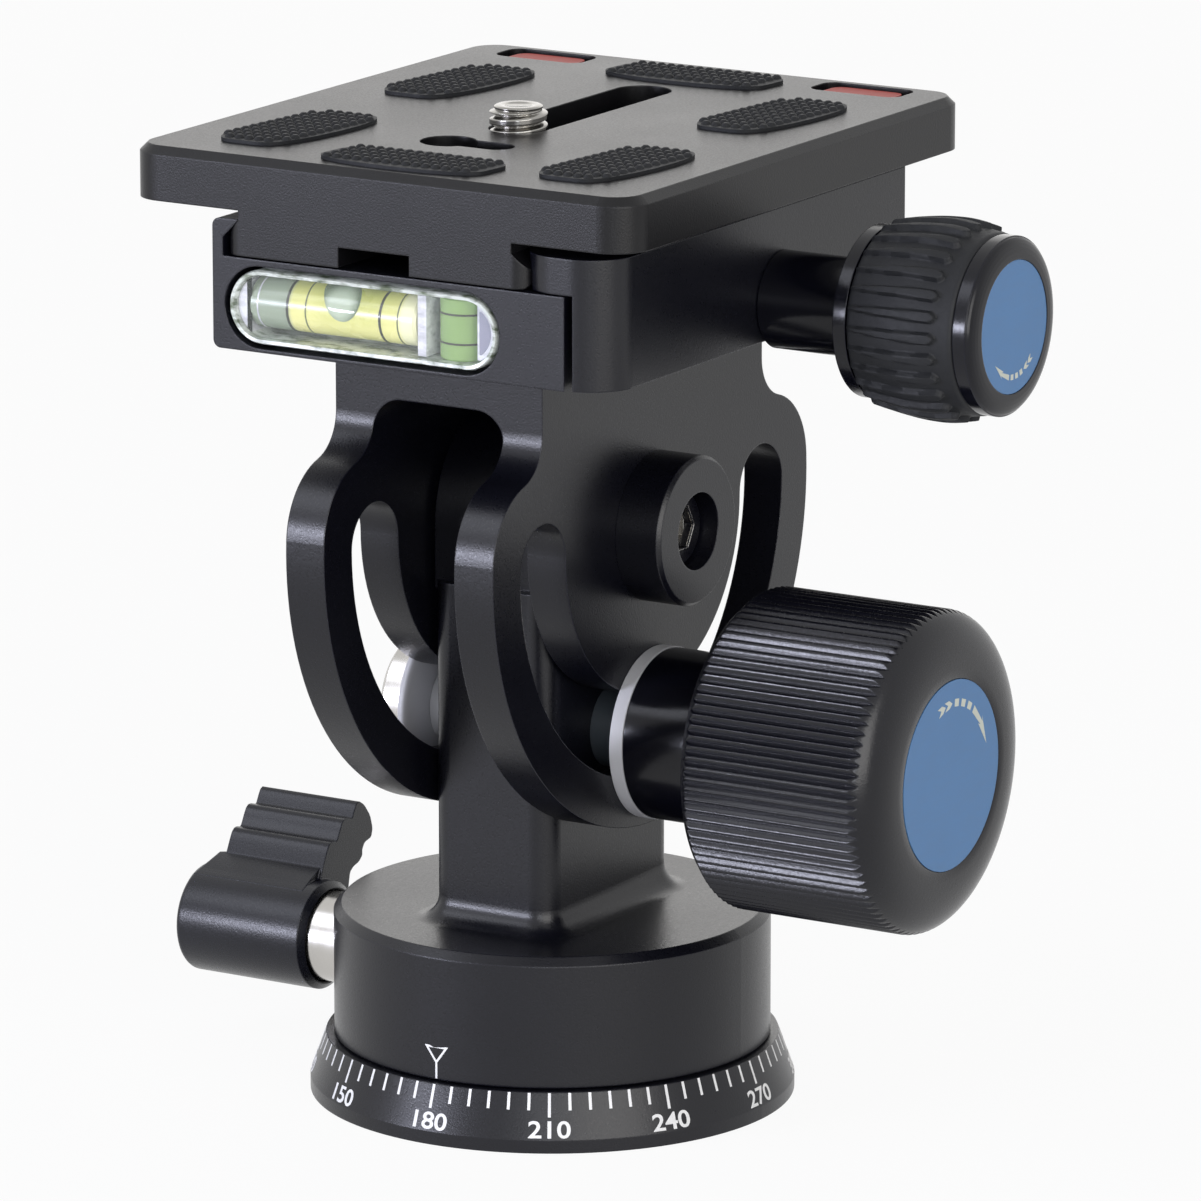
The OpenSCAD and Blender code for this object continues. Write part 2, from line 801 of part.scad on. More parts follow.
// Section of the wing, drawn along its reach and across its thickness, with a blunt round tip
module wing_section() {
    edge = [[0, wing_root_t / 2 - wing_step], each wing_edge()];
    tip_x = wing_reach - wing_tip_r;
    intersection() {
        polygon([
            for (p = edge)
                [p.x, -p.y],
            for (i = [len(edge) - 1 : -1 : 0])
                edge[i]
        ]);
        union() {
            translate([tip_x, 0])
                circle(wing_tip_r);
            translate([-1, -wing_tip_r])
                square([tip_x + 1, 2 * wing_tip_r]);
        }
    }
}

// Lever: a barrel with one stepped wing
module pan_lock_lever() {
    color(satin)
        translate([0, 0, lock_z])
            difference() {
                union() {
                    mirror([1, 0, 0])
                        rotate([0, 90, 0])
                            rotate_extrude()
                                lever_profile();
                    rotate([wing_angle, 0, 0])
                        along_x(wing_x1 - wing_l, wing_x1)
                            translate([0, wing_off])
                                wing_section();
                }
                xcyl(lock_stem_d + 2 * seat + 0.2, lock_x1 + eps, lock_x1 - lever_mouth);
                xcyl(spigot_d + 2 * seat, lock_x1, lock_x1 - spigot_l - 0.5);
                translate([lock_x1 - spigot_l + grub_d, 0, -lever_d])
                    cylinder(d = grub_d + 2 * seat, h = lever_d);
            }
}

// Half section of the barrel, with a chamfer at the stem and a rounded outer end
module lever_profile() {
    r = lever_d / 2;
    near = -lock_x1;
    end = -lever_x1;
    polygon([
        [0, near], [r - lever_chamfer, near], [r, near + lever_chamfer],
        [r, end - lever_round], [r - lever_round, end], [0, end]
    ]);
    translate([r - lever_round, end - lever_round])
        circle(lever_round);
}

// Grub screw that holds the lever on the stem
module pan_lock_grub() {
    color(steel)
        translate([lock_x1 - spigot_l + grub_d, 0, lock_z - lever_d / 2 + 0.3])
            difference() {
                cylinder(d = grub_d, h = (lever_d - spigot_d) / 2 - 0.3 - seat);
                translate([0, 0, -eps])
                    cylinder(d = grub_d / 2, h = 1, $fn = 6);
            }
}

// Flanged bushes in the pillar's eye
module pivot_bushes() {
    color([0.70, 0.52, 0.26])
        translate([0, 0, pivot_z])
            both_x()
                difference() {
                    union() {
                        xcyl(pivot_bush_d, pillar_w / 2 - bush_l, pillar_w / 2 + eps);
                        xcyl(pivot_flange_d, pillar_w / 2, pillar_w / 2 + bush_flange_t);
                    }
                    xcyl(pivot_d + 2 * running, 0, yoke_w);
                }
}

// Pin that carries the yoke, tapped at both ends
module pivot_pin() {
    color(steel)
        translate([0, 0, pivot_z])
            difference() {
                xcyl(pivot_d, -cheek_out, cheek_out);
                both_x()
                    xcyl(pivot_screw_d + 2 * seat, cheek_out - pivot_tap, cheek_out + eps);
            }
}

// Round cap over one end of the pivot pin, drawn for the right side
module pivot_cap() {
    color(black)
        translate([0, 0, pivot_z])
            difference() {
                union() {
                    xcyl(cap_d, cheek_out, cheek_out + cap_h - cap_bevel);
                    translate([cheek_out + cap_h - cap_bevel, 0, 0])
                        rotate([0, 90, 0])
                            cylinder(d1 = cap_d, d2 = cap_d - 2 * cap_bevel, h = cap_bevel);
                }
                xcyl(pivot_screw_d + 2 * running, cheek_out - eps, cheek_out + cap_h);
                xcyl(cap_well_d, cheek_out + cap_h - cap_well_h, cheek_out + cap_h + eps);
            }
}

module pivot_cap_right() {
    pivot_cap();
}

module pivot_cap_left() {
    mirror([1, 0, 0])
        pivot_cap();
}

// Socket screws that hold the caps
module pivot_screws() {
    head_x = cheek_out + cap_h - cap_well_h;
    color(steel)
        translate([0, 0, pivot_z])
            both_x()
                difference() {
                    union() {
                        xcyl(pivot_head_d, head_x, head_x + pivot_head_h);
                        xcyl(pivot_screw_d, cheek_out - pivot_tap + 1, head_x + eps);
                    }
                    translate([head_x + pivot_head_h - pivot_hex_h, 0, 0])
                        rotate([0, 90, 0])
                            cylinder(d = pivot_head_d * 0.62, h = 2, $fn = 6);
                }
}

// Outline of a cheek about the tilt axis, in Y and Z
module cheek_outline() {
    reach = 2 * yoke_r;
    rise = reach * tan(cheek_shoulder_angle);
    intersection() {
        circle(yoke_r);
        polygon([[-reach, rise], [0, 0], [reach, rise], [reach, -reach], [-reach, -reach]]);
    }
    translate([-neck_l / 2, -1])
        square([neck_l, yoke_top_h + 1]);
    cheek_side();
    mirror([1, 0])
        cheek_side();
}

// Shoulder of a cheek and the fillet from it to the neck, on the front side
module cheek_side() {
    meet_y = shoulder_y + (fillet_y - shoulder_y) * fillet_share;
    meet_z = shoulder_z + (fillet_z - shoulder_z) * fillet_share;
    inner_y = neck_l / 2 - 1;
    translate([-shoulder_y, shoulder_z])
        circle(cheek_shoulder_r);
    difference() {
        polygon([
            [-inner_y, fillet_z], [-fillet_y, fillet_z], [-meet_y, meet_z],
            [-shoulder_y, shoulder_z], [-inner_y, shoulder_z]
        ]);
        translate([-fillet_y, fillet_z])
            circle(neck_fillet_r);
    }
}

// Half-circle slot about the tilt axis
module tilt_slot() {
    difference() {
        circle(slot_r + slot_w / 2);
        circle(slot_r - slot_w / 2);
        translate([-far / 2, 0])
            square(far);
    }
    for (s = [-1, 1])
        translate([s * slot_r, 0])
            circle(d = slot_w);
}

// Space between the cheeks, in X and Z about the tilt axis
module yoke_opening() {
    flat = cheek_in - opening_r;
    translate([-cheek_in, -far / 2])
        square([2 * cheek_in, far / 2 + opening_top - opening_r]);
    translate([-flat, -far / 2])
        square([2 * flat, far / 2 + opening_top]);
    for (s = [-1, 1])
        translate([s * flat, opening_top - opening_r])
            circle(opening_r);
}

// Yoke: two slotted cheeks under one bridge
module yoke() {
    color(black)
        translate([0, 0, pivot_z])
            difference() {
                along_x(-yoke_w / 2, yoke_w / 2)
                    difference() {
                        cheek_outline();
                        tilt_slot();
                        circle(d = pivot_d + 2 * seat);
                    }
                along_y(-far / 2, far / 2)
                    yoke_opening();
                clamp_screw_places()
                    translate([0, 0, yoke_top_h - clamp_screw_tap])
                        cylinder(d = clamp_screw_d + 2 * seat, h = clamp_screw_tap + eps);
            }
}

module clamp_screw_places() {
    for (sx = [-1, 1], sy = [-1, 1])
        translate([sx * clamp_screw_x, sy * clamp_screw_y, 0])
            children();
}

// Bolt through the pillar and both slots, with a hexagon socket in its head
module tilt_bolt() {
    color(steel)
        translate([0, 0, bolt_z])
            difference() {
                union() {
                    xcyl(bolt_d, bolt_head_x + bolt_hex_h, bolt_end);
                    xcyl(bolt_head_d, bolt_head_x + 0.6, bolt_washer_x);
                    translate([bolt_head_x, 0, 0])
                        rotate([0, 90, 0])
                            cylinder(d1 = bolt_head_d - 1.2, d2 = bolt_head_d, h = 0.6);
                }
                translate([bolt_head_x - eps, 0, 0])
                    rotate([0, 90, 0])
                        cylinder(d = bolt_hex_d, h = bolt_hex_h + eps, $fn = 6);
            }
}

// Ring about the bolt between two places along X
module bolt_ring(d, x0, x1) {
    translate([0, 0, bolt_z])
        difference() {
            xcyl(d, x0, x1);
            xcyl(bolt_d + 2 * running, min(x0, x1) - 1, max(x0, x1) + 1);
        }
}

module bolt_washer() {
    color([0.78, 0.78, 0.79])
        bolt_ring(bolt_washer_d, bolt_washer_x, bolt_washer_x + bolt_washer_t);
}

// Stepped bush that guides the right cheek's slot
module slot_bush_right() {
    step_x = pillar_w / 2 + right_bush_l;
    color([0.22, 0.25, 0.27])
        union() {
            bolt_ring(slot_bush_d, pillar_w / 2 + seat, step_x);
            bolt_ring(sleeve_d, step_x - 1, cheek_out);
        }
}

// Bush that guides the left cheek's slot
module slot_bush_left() {
    color([0.72, 0.72, 0.74])
        bolt_ring(slot_bush_d, -cheek_out, -pillar_w / 2 - seat);
}

// Pale washer between the right cheek and the knob's collar
module tilt_washer() {
    color([0.78, 0.78, 0.79])
        bolt_ring(knob_washer_d, knob_washer_x, knob_washer_x + knob_washer_t);
}

// Collar of the big knob, with the spigot that joins the knob
module tilt_collar() {
    color(black)
        translate([0, 0, bolt_z])
            difference() {
                xcyl(collar_d, collar_x, knob_x);
                xcyl(bolt_d + 2 * running, collar_x - 1, knob_x + 1);
            }
}

// Threaded insert in the big knob
module tilt_insert() {
    color(steel)
        translate([0, 0, bolt_z])
            difference() {
                xcyl(insert_d, knob_x, knob_x + insert_l);
                xcyl(bolt_d + 2 * running, knob_x - 1, knob_x + insert_l + 1);
            }
}

// Rounded edge of a turned profile: from radius r at x to r - width at x + depth
function quarter_ellipse(r, x, width, depth) = [
    for (a = [0 : 15 : 90])
        [r - width + width * cos(a), x + depth * sin(a)]
];

// Outline of the ridged band: pointed ridges round a circle
module ridge_outline(d, depth, n) {
    polygon([
        for (i = [0 : n - 1], tip = [0, 1])
            let (a = (i + tip / 2) * 360 / n, r = d / 2 - tip * depth)
                [r * cos(a), r * sin(a)]
    ]);
}

// Smooth parts of the big knob: bevelled back, core and a front edge rounded as a quarter ellipse
module knob_body() {
    core = knob_d / 2 - knob_ridge_h - ridge_foot;
    xrev([
        [0, knob_x], [core - knob_bevel, knob_x], [core, knob_band_x],
        each quarter_ellipse(core, knob_round_x, knob_round_r, knob_round_l),
        [0, knob_end]
    ]);
}

// Big knob with its ridged band
module tilt_knob() {
    color(black)
        translate([0, 0, bolt_z])
            difference() {
                union() {
                    knob_body();
                    along_x(knob_band_x, knob_round_x)
                        ridge_outline(knob_d, knob_ridge_h, knob_ridges);
                }
                xcyl(insert_d + 2 * seat, knob_x - eps, knob_x + insert_l + pass);
                xcyl(knob_disc_d + 0.1, knob_end - disc_t, knob_end + eps);
            }
}

module tilt_knob_disc() {
    color(blue)
        translate([0, 0, bolt_z])
            xcyl(knob_disc_d, knob_end - disc_t, knob_end - 0.05);
}

// Section of the clamp base in X and Z: floor, fixed jaw and rounded lower corner
module clamp_section() {
    undercut = dove_r + slide;
    tip = dove_neck_r + slide;
    polygon([
        [-clamp_left + clamp_corner, clamp_z], [clamp_right, clamp_z], [clamp_right, floor_z],
        [-undercut, floor_z], [-undercut, slant_z - 0.05], [-tip, slant_z + dovetail_slant - 0.05],
        [-tip, jaw_top], [-clamp_left + clamp_corner, jaw_top],
        [-clamp_left, jaw_top - clamp_corner], [-clamp_left, clamp_z + clamp_corner]
    ]);
    for (z = [clamp_z + clamp_corner, jaw_top - clamp_corner])
        translate([-clamp_left + clamp_corner, z])
            circle(clamp_corner);
}

// Level's window in X and Z: a bar with round ends
module level_outline(shrink) {
    r = level_h / 2 - shrink;
    left = -level_left + level_h / 2;
    right = level_right - level_h / 2;
    translate([left, level_z - r])
        square([right - left, 2 * r]);
    for (x = [left, right])
        translate([x, level_z])
            circle(r);
}

// Clamp base with its fixed jaw
module clamp_base() {
    color(black)
        difference() {
            along_y(-clamp_front, clamp_back)
                clamp_section();
            along_y(level_y - eps, level_y + level_depth)
                level_outline(0);
            clamp_screw_places() {
                translate([0, 0, clamp_z - eps])
                    cylinder(d = clamp_screw_d + 2 * running, h = clamp_floor_h);
                translate([0, 0, floor_z - clamp_sink])
                    cylinder(d = clamp_head_d + 0.2, h = clamp_sink + eps);
            }
            translate([0, 0, qr_z])
                xcyl(qr_screw_d + 2 * running, clamp_right - qr_screw_in - 1, clamp_right + eps);
            guide_places()
                xcyl(guide_d + 2 * seat, clamp_right - guide_in, clamp_right + eps);
        }
}

module guide_places() {
    both_y()
        translate([0, guide_pos, guide_z])
            children();
}

// Socket screws that hold the clamp base on the yoke
module clamp_screws() {
    color(steel)
        clamp_screw_places()
            translate([0, 0, floor_z - clamp_sink])
                difference() {
                    union() {
                        cylinder(d = clamp_head_d, h = clamp_head_h);
                        translate([0, 0, -clamp_screw_l])
                            cylinder(d = clamp_screw_d, h = clamp_screw_l + eps);
                    }
                    translate([0, 0, clamp_head_h - 1.5])
                        cylinder(d = clamp_head_d / 2, h = 2, $fn = 6);
                }
}

// Pins that guide the moving jaw
module guide_pins() {
    color(steel)
        guide_places()
            xcyl(guide_d, clamp_right - guide_in, jaw_out - guide_tip - pass);
}

// Clear block of the level, bored for both vials
module level_block() {
    color([0.86, 0.90, 0.86, 0.5])
        difference() {
            along_y(level_y + 0.1, level_y + level_depth - 0.1)
                level_outline(level_fit);
            translate([-vial_pos, vial_y, level_z + vial_rise])
                xcyl(vial_d + 2 * seat, -vial_l / 2, vial_l / 2);
            translate([short_vial_pos, vial_y, level_z - short_vial_l / 2])
                cylinder(d = short_vial_d + 2 * seat, h = short_vial_l);
        }
}

module level_vial_long() {
    color([0.80, 0.88, 0.30, 0.7])
        translate([-vial_pos, vial_y, level_z + vial_rise])
            xcyl(vial_d, -vial_l / 2 + seat, vial_l / 2 - seat);
}

module level_vial_short() {
    color([0.66, 0.80, 0.42, 0.7])
        translate([short_vial_pos, vial_y, level_z - short_vial_l / 2 + seat])
            cylinder(d = short_vial_d, h = short_vial_l - 2 * seat);
}

// Section of the moving jaw in X and Z: leg and hook
module jaw_section() {
    undercut = dove_r + slide;
    tip = dove_neck_r + slide;
    under = floor_z + pass;
    polygon([
        [jaw_x, clamp_z + slide], [jaw_out, clamp_z + slide], [jaw_out, jaw_top], [tip, jaw_top],
        [tip, slant_z + dovetail_slant - 0.05], [undercut, slant_z - 0.05], [undercut, under],
        [jaw_x, under]
    ]);
}

// Moving jaw, round at its front edge
module clamp_jaw() {
    tip = dove_neck_r + slide;
    plan_l = clamp_l + 2 * jaw_edge_r;
    color(black)
        difference() {
            intersection() {
                along_y(-clamp_front, clamp_back)
                    jaw_section();
                translate([(tip + jaw_out) / 2, plan_l / 2 - clamp_front, 0])
                    linear_extrude(far)
                        round_rect(jaw_out - tip, plan_l, jaw_edge_r);
            }
            translate([0, 0, qr_z])
                xcyl(qr_screw_d + 2 * running, jaw_x - 1, jaw_out + 1);
            guide_places()
                xcyl(guide_d + 2 * running, jaw_x - 1, jaw_out - guide_tip);
        }
}

// Screw that draws the moving jaw to the clamp base
module clamp_draw_screw() {
    color(steel)
        translate([0, 0, qr_z])
            xcyl(qr_screw_d, clamp_right - qr_screw_in, qr_grip_x + qr_grip_l - 3);
}

// Clip on the draw screw that takes the jaw along when the knob is loosened
module clamp_clip() {
    color(steel)
        translate([0, 0, qr_z])
            difference() {
                xcyl(qr_clip_d, qr_clip_x, qr_clip_x + qr_clip_t);
                xcyl(qr_screw_d + 2 * seat, qr_clip_x - 1, qr_clip_x + 1);
            }
}

// Neck, flange and hub of the clamp knob
module clamp_knob_core() {
    color(black)
        translate([0, 0, qr_z])
            difference() {
                union() {
                    xcyl(qr_neck_d, qr_neck_x, qr_flange_x + eps);
                    xcyl(qr_flange_d, qr_flange_x, qr_grip_x);
                    xcyl(qr_hub_d, qr_grip_x - eps, qr_cap_x);
                }
                xcyl(qr_screw_d + 2 * seat, qr_neck_x - 1, qr_grip_x + qr_grip_l - 3 + seat);
            }
}

// Half section of the grip: an arc from end to end through its widest place
module grip_profile(end_r, mid_r) {
    bulge = mid_r - end_r;
    arc_r = (pow(qr_grip_l / 2, 2) + pow(bulge, 2)) / (2 * bulge);
    intersection() {
        translate([mid_r - arc_r, qr_grip_x + qr_grip_l / 2])
            circle(arc_r, $fn = 360);
        translate([0, qr_grip_x])
            square([mid_r, qr_grip_l]);
    }
}

// Rubber grip: a barrel whose ribs stand out where it is widest
module clamp_knob_grip() {
    core_mid = qr_grip_mid_d / 2 - rib_groove;
    color(rubber)
        translate([0, 0, qr_z])
            difference() {
                union() {
                    rotate([0, 90, 0])
                        rotate_extrude()
                            grip_profile(qr_grip_end_d / 2 - 0.1, core_mid + 0.2);
                    intersection() {
                        rotate([0, 90, 0])
                            rotate_extrude()
                                grip_profile(qr_grip_end_d / 2 - 0.1, qr_grip_mid_d / 2);
                        along_x(qr_grip_x, qr_cap_x)
                            rib_outline();
                    }
                }
                xcyl(qr_hub_d + 2 * seat, qr_grip_x - 1, qr_cap_x + 1);
            }
}

// Star of blunt ribs round the grip
module rib_outline() {
    step = 360 / qr_ribs;
    crest = qr_grip_mid_d / 2 + 0.2;
    root = qr_grip_mid_d / 2 - rib_groove - 0.6;
    polygon([
        for (i = [0 : qr_ribs - 1], k = [0 : 3])
            let (a = i * step + [-0.30, -0.12, 0.12, 0.30][k] * step, r = (k == 0 || k == 3) ? root : crest)
                [r * cos(a), r * sin(a)]
    ]);
}

// Cap in front of the grip: an upright band, then a rounded lip round the seat of the disc
module clamp_knob_cap() {
    r = qr_cap_d / 2;
    lip_x = qr_end - qr_lip_h;
    lip_r = r - qr_lip_step;
    lip_w = lip_r - qr_disc_d / 2 - qr_lip_land;
    color(black)
        translate([0, 0, qr_z])
            difference() {
                xrev([
                    [0, qr_cap_x], [r, qr_cap_x], [r, lip_x],
                    each quarter_ellipse(lip_r, lip_x, lip_w, qr_lip_h),
                    [0, qr_end]
                ]);
                xcyl(qr_disc_d + 0.1, qr_end - disc_t, qr_end + eps);
            }
}

module clamp_knob_disc() {
    color(blue)
        translate([0, 0, qr_z])
            xcyl(qr_disc_d, qr_end - disc_t, qr_end - 0.05);
}

// Section of the dovetail and its neck in X and Z
module dovetail_section() {
    polygon([
        [-dove_r + dove_foot, dove_z], [dove_r - dove_foot, dove_z], [dove_r, dove_z + dove_foot],
        [dove_r, slant_z], [dove_neck_r, neck_z], [dove_neck_r, flange_bottom + eps],
        [-dove_neck_r, flange_bottom + eps], [-dove_neck_r, neck_z], [-dove_r, slant_z],
        [-dove_r, dove_z + dove_foot]
    ]);
}

// Keyhole in plan: a round end with a narrow tail
module keyhole_plan() {
    left = -keyhole_l / 2 + keyhole_d / 2;
    right = keyhole_l / 2 - keyhole_tail_w / 2;
    translate([left, 0])
        circle(d = keyhole_d);
    translate([left, -keyhole_tail_w / 2])
        square([right - left, keyhole_tail_w]);
    translate([right, 0])
        circle(d = keyhole_tail_w);
}

// Camera screw's slot in plan
module screw_slot_plan() {
    r = screw_slot_w / 2;
    translate([-r, -screw_slot_front + r])
        square([screw_slot_w, screw_slot_front + screw_slot_back - 2 * r]);
    for (y = [-screw_slot_front + r, screw_slot_back - r])
        translate([0, y])
            circle(r);
}

module window_places() {
    both_x()
        translate([window_x, window_y, 0])
            children();
}

// Camera plate: flange, dovetail, channel, slot, keyhole and windows
module camera_plate() {
    color(satin)
        difference() {
            union() {
                translate([0, plate_y, flange_bottom])
                    chamfered_slab(plate_w, plate_l, flange_h, plate_corner_r, plate_chamfer);
                intersection() {
                    along_y(-plate_front, plate_back)
                        dovetail_section();
                    translate([0, plate_y, 0])
                        linear_extrude(far)
                            round_rect(dovetail_w, plate_l, plate_corner_r / 2);
                }
            }
            along_y(-far / 2, far / 2)
                translate([-channel_w / 2, dove_z - 1])
                    square([channel_w, channel_h + 1]);
            linear_extrude(far)
                screw_slot_plan();
            translate([0, -keyhole_pos, 0])
                linear_extrude(far)
                    keyhole_plan();
            window_places()
                translate([0, 0, flange_bottom - 1])
                    linear_extrude(flange_h + 2)
                        round_rect(window_w, window_l, window_r);
        }
}

// Red bars in the plate's windows: a foot that fills the window and a narrower head
module window_bars() {
    color([0.78, 0.28, 0.22])
        window_places() {
            translate([0, 0, plate_top - bar_step - bar_foot_h])
                linear_extrude(bar_foot_h)
                    round_rect(window_w - 2 * seat, window_l - 2 * seat, window_r - seat);
            translate([0, 0, plate_top - bar_step - eps])
                linear_extrude(bar_step - bar_sink + eps)
                    round_rect(bar_l, bar_w, bar_r);
        }
}

// Four pads along the plate's sides
module side_pads() {
    color(rubber)
        both_x()
            for (y = [-side_pad_front, side_pad_back])
                translate([side_pad_x, y, plate_top])
                    linear_extrude(pad_h)
                        pad_outline(side_pad_w, side_pad_l);
}

// Two pads at the plate's ends
module end_pads() {
    color(rubber)
        for (y = [-end_pad_front, end_pad_back])
            translate([0, y, plate_top])
                linear_extrude(pad_h)
                    rotate(90)
                        pad_outline(end_pad_w, end_pad_l);
}

// Captive washer that carries the camera screw along the slot
module screw_washer() {
    color("white")
        translate([0, -camera_pos, web_z - slide / 2 - camera_washer_t])
            difference() {
                cylinder(d = camera_head_d, h = camera_washer_t);
                translate([0, 0, -eps])
                    cylinder(d = camera_neck_d + 2 * running, h = camera_washer_t + 2 * eps);
            }
}

// Camera screw: head with a coin slot, neck and thread
module camera_screw() {
    thread_h = camera_h - camera_tip - (camera_thread_z - plate_top);
    color([0.85, 0.85, 0.84])
        translate([0, -camera_pos, 0])
            difference() {
                union() {
                    translate([0, 0, camera_head_z])
                        cylinder(d = camera_head_d, h = camera_head_h);
                    translate([0, 0, camera_head_z])
                        cylinder(d = camera_neck_d, h = camera_thread_z - camera_head_z + eps);
                    translate([0, 0, camera_thread_z])
                        cylinder(d = camera_d, h = thread_h);
                    translate([0, 0, camera_thread_z + thread_h])
                        cylinder(d1 = camera_d, d2 = camera_d - 2 * camera_tip, h = camera_tip);
                }
                translate([-coin_w / 2, -camera_head_d, camera_head_z - eps])
                    cube([coin_w, 2 * camera_head_d, coin_h]);
            }
}

base_disc();
tripod_bush();
pan_spindle();
spindle_screws();
thrust_washer();
retaining_ring();
pan_housing();
brake_shoe();
pan_lock_stem();
pan_lock_lever();
pan_lock_grub();
pivot_bushes();
pivot_pin();
pivot_cap_right();
pivot_cap_left();
pivot_screws();
yoke();
tilt_bolt();
bolt_washer();
slot_bush_right();
slot_bush_left();
tilt_washer();
tilt_collar();
tilt_insert();
tilt_knob();
tilt_knob_disc();
clamp_base();
clamp_screws();
guide_pins();
level_block();
level_vial_long();
level_vial_short();
clamp_jaw();
clamp_draw_screw();
clamp_clip();
clamp_knob_core();
clamp_knob_grip();
clamp_knob_cap();
clamp_knob_disc();
camera_plate();
window_bars();
side_pads();
end_pads();
screw_washer();
camera_screw();
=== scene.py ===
"""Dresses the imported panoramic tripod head.

Its solids get their finishes, and finer pieces stand where a solid is too plain.
"""

import json
import math

import bmesh
import bpy
import numpy as np
from bpy.props import FloatProperty, FloatVectorProperty, IntProperty, PointerProperty
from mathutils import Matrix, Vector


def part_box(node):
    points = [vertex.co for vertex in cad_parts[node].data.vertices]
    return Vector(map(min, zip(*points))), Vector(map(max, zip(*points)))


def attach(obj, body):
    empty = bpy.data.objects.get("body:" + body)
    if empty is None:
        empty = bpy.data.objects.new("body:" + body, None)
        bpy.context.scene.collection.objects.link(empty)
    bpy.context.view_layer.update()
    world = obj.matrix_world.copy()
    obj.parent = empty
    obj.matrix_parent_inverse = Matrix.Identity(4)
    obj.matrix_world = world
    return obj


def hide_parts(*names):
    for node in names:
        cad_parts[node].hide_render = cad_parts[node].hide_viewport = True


bl_info = {
    "name": "Panoramic tripod head",
    "version": (1, 0, 0),
    "blender": (4, 5, 0),
    "location": "View3D > Sidebar > Tripod head",
    "description": "Builds the looks of a panning and tilting camera head round its solids",
    "category": "Object",
}

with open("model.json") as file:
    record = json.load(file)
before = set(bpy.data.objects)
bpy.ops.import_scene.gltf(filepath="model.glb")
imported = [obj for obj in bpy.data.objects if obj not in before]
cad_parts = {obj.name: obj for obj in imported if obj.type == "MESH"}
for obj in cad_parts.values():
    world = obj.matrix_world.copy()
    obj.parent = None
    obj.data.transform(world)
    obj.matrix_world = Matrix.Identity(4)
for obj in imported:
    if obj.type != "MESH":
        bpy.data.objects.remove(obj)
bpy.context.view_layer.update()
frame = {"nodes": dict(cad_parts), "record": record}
MM = 0.001
TURN = 2 * math.pi


class Span:
    """Lowest and highest corner of a solid in millimetres, with its middle and half its size."""

    def __init__(self, node):
        low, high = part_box(node)
        self.low = np.array(low) / MM
        self.high = np.array(high) / MM
        self.middle = (self.low + self.high) / 2
        self.half = (self.high - self.low) / 2


BASE = Span("base_disc")
HOUSING = Span("pan_housing")
KNOB = Span("tilt_knob")
KNOB_DISC = Span("tilt_knob_disc")
GRIP = Span("clamp_knob_grip")
CLAMP_DISC = Span("clamp_knob_disc")
PLATE = Span("camera_plate")
SCREW = Span("camera_screw")
BUSH = Span("tripod_bush")
LEVEL = Span("level_block")
VIAL = Span("level_vial_long")
SHORT = Span("level_vial_short")
STEM = Span("pan_lock_stem")
LEVER = Span("pan_lock_lever")
PIVOT = Span("pivot_screws")
WASHER = Span("bolt_washer")


def colour_property(name, description, default):
    """Colour that a user may change."""
    return FloatVectorProperty(
        name=name, description=description, subtype="COLOR", size=3, min=0, max=1, default=default
    )


def length_property(name, description, millimetres):
    """Length that a user may change, given in millimetres."""
    return FloatProperty(name=name, description=description, unit="LENGTH", default=millimetres * MM)


class HeadFinishes(bpy.types.PropertyGroup):
    """Colours of the head's finishes."""

    black: colour_property("Black anodising", "Colour of the machined pieces", (0.0022, 0.0023, 0.0044))
    lever: colour_property("Lever anodising", "Colour of the pan lock's lever", (0.0030, 0.0034, 0.0066))
    plate: colour_property("Plate anodising", "Colour of the camera plate", (0.0034, 0.0033, 0.0040))
    rubber: colour_property("Rubber", "Colour of pads and grip", (0.0070, 0.0076, 0.0092))
    steel: colour_property("Steel", "Colour of turned steel", (0.52, 0.505, 0.48))
    chrome: colour_property("Bright plating", "Colour of the camera screw", (0.34, 0.33, 0.31))
    bronze: colour_property("Bronze", "Colour of the bearing bushes", (0.50, 0.32, 0.13))
    pale: colour_property("Pale nylon", "Colour of the pale washers", (0.52, 0.52, 0.54))
    dark: colour_property("Dark nylon", "Colour of the right slot's bush", (0.050, 0.060, 0.070))
    blue: colour_property("Blue", "Colour of the knobs' discs", (0.064, 0.170, 0.355))
    red: colour_property("Red", "Colour of the bars in the plate", (0.50, 0.085, 0.070))
    mark: colour_property("Marks", "Colour of the printed marks", (0.80, 0.80, 0.80))
    arrow: colour_property("Arrows", "Colour of the arrows on the discs", (0.52, 0.54, 0.47))
    liquid: colour_property("Liquid", "Colour of the vials' liquid", (0.66, 0.70, 0.16))


class HeadMarks(bpy.types.PropertyGroup):
    """Sizes of the degree scale and the index."""

    step: IntProperty(name="Tick step", description="Degrees between two ticks", default=5)
    number_step: IntProperty(name="Number step", description="Degrees between two numbers", default=30)
    tick_width: length_property("Tick width", "Width of a tick", 0.34)
    tick_short: length_property("Short tick", "Length of a short tick", 1.9)
    tick_long: length_property("Long tick", "Length of a tick with a number", 2.65)
    digit_height: length_property("Digit height", "Height of the numbers", 1.9)
    paint: length_property("Paint", "Thickness of the printed marks", 0.02)


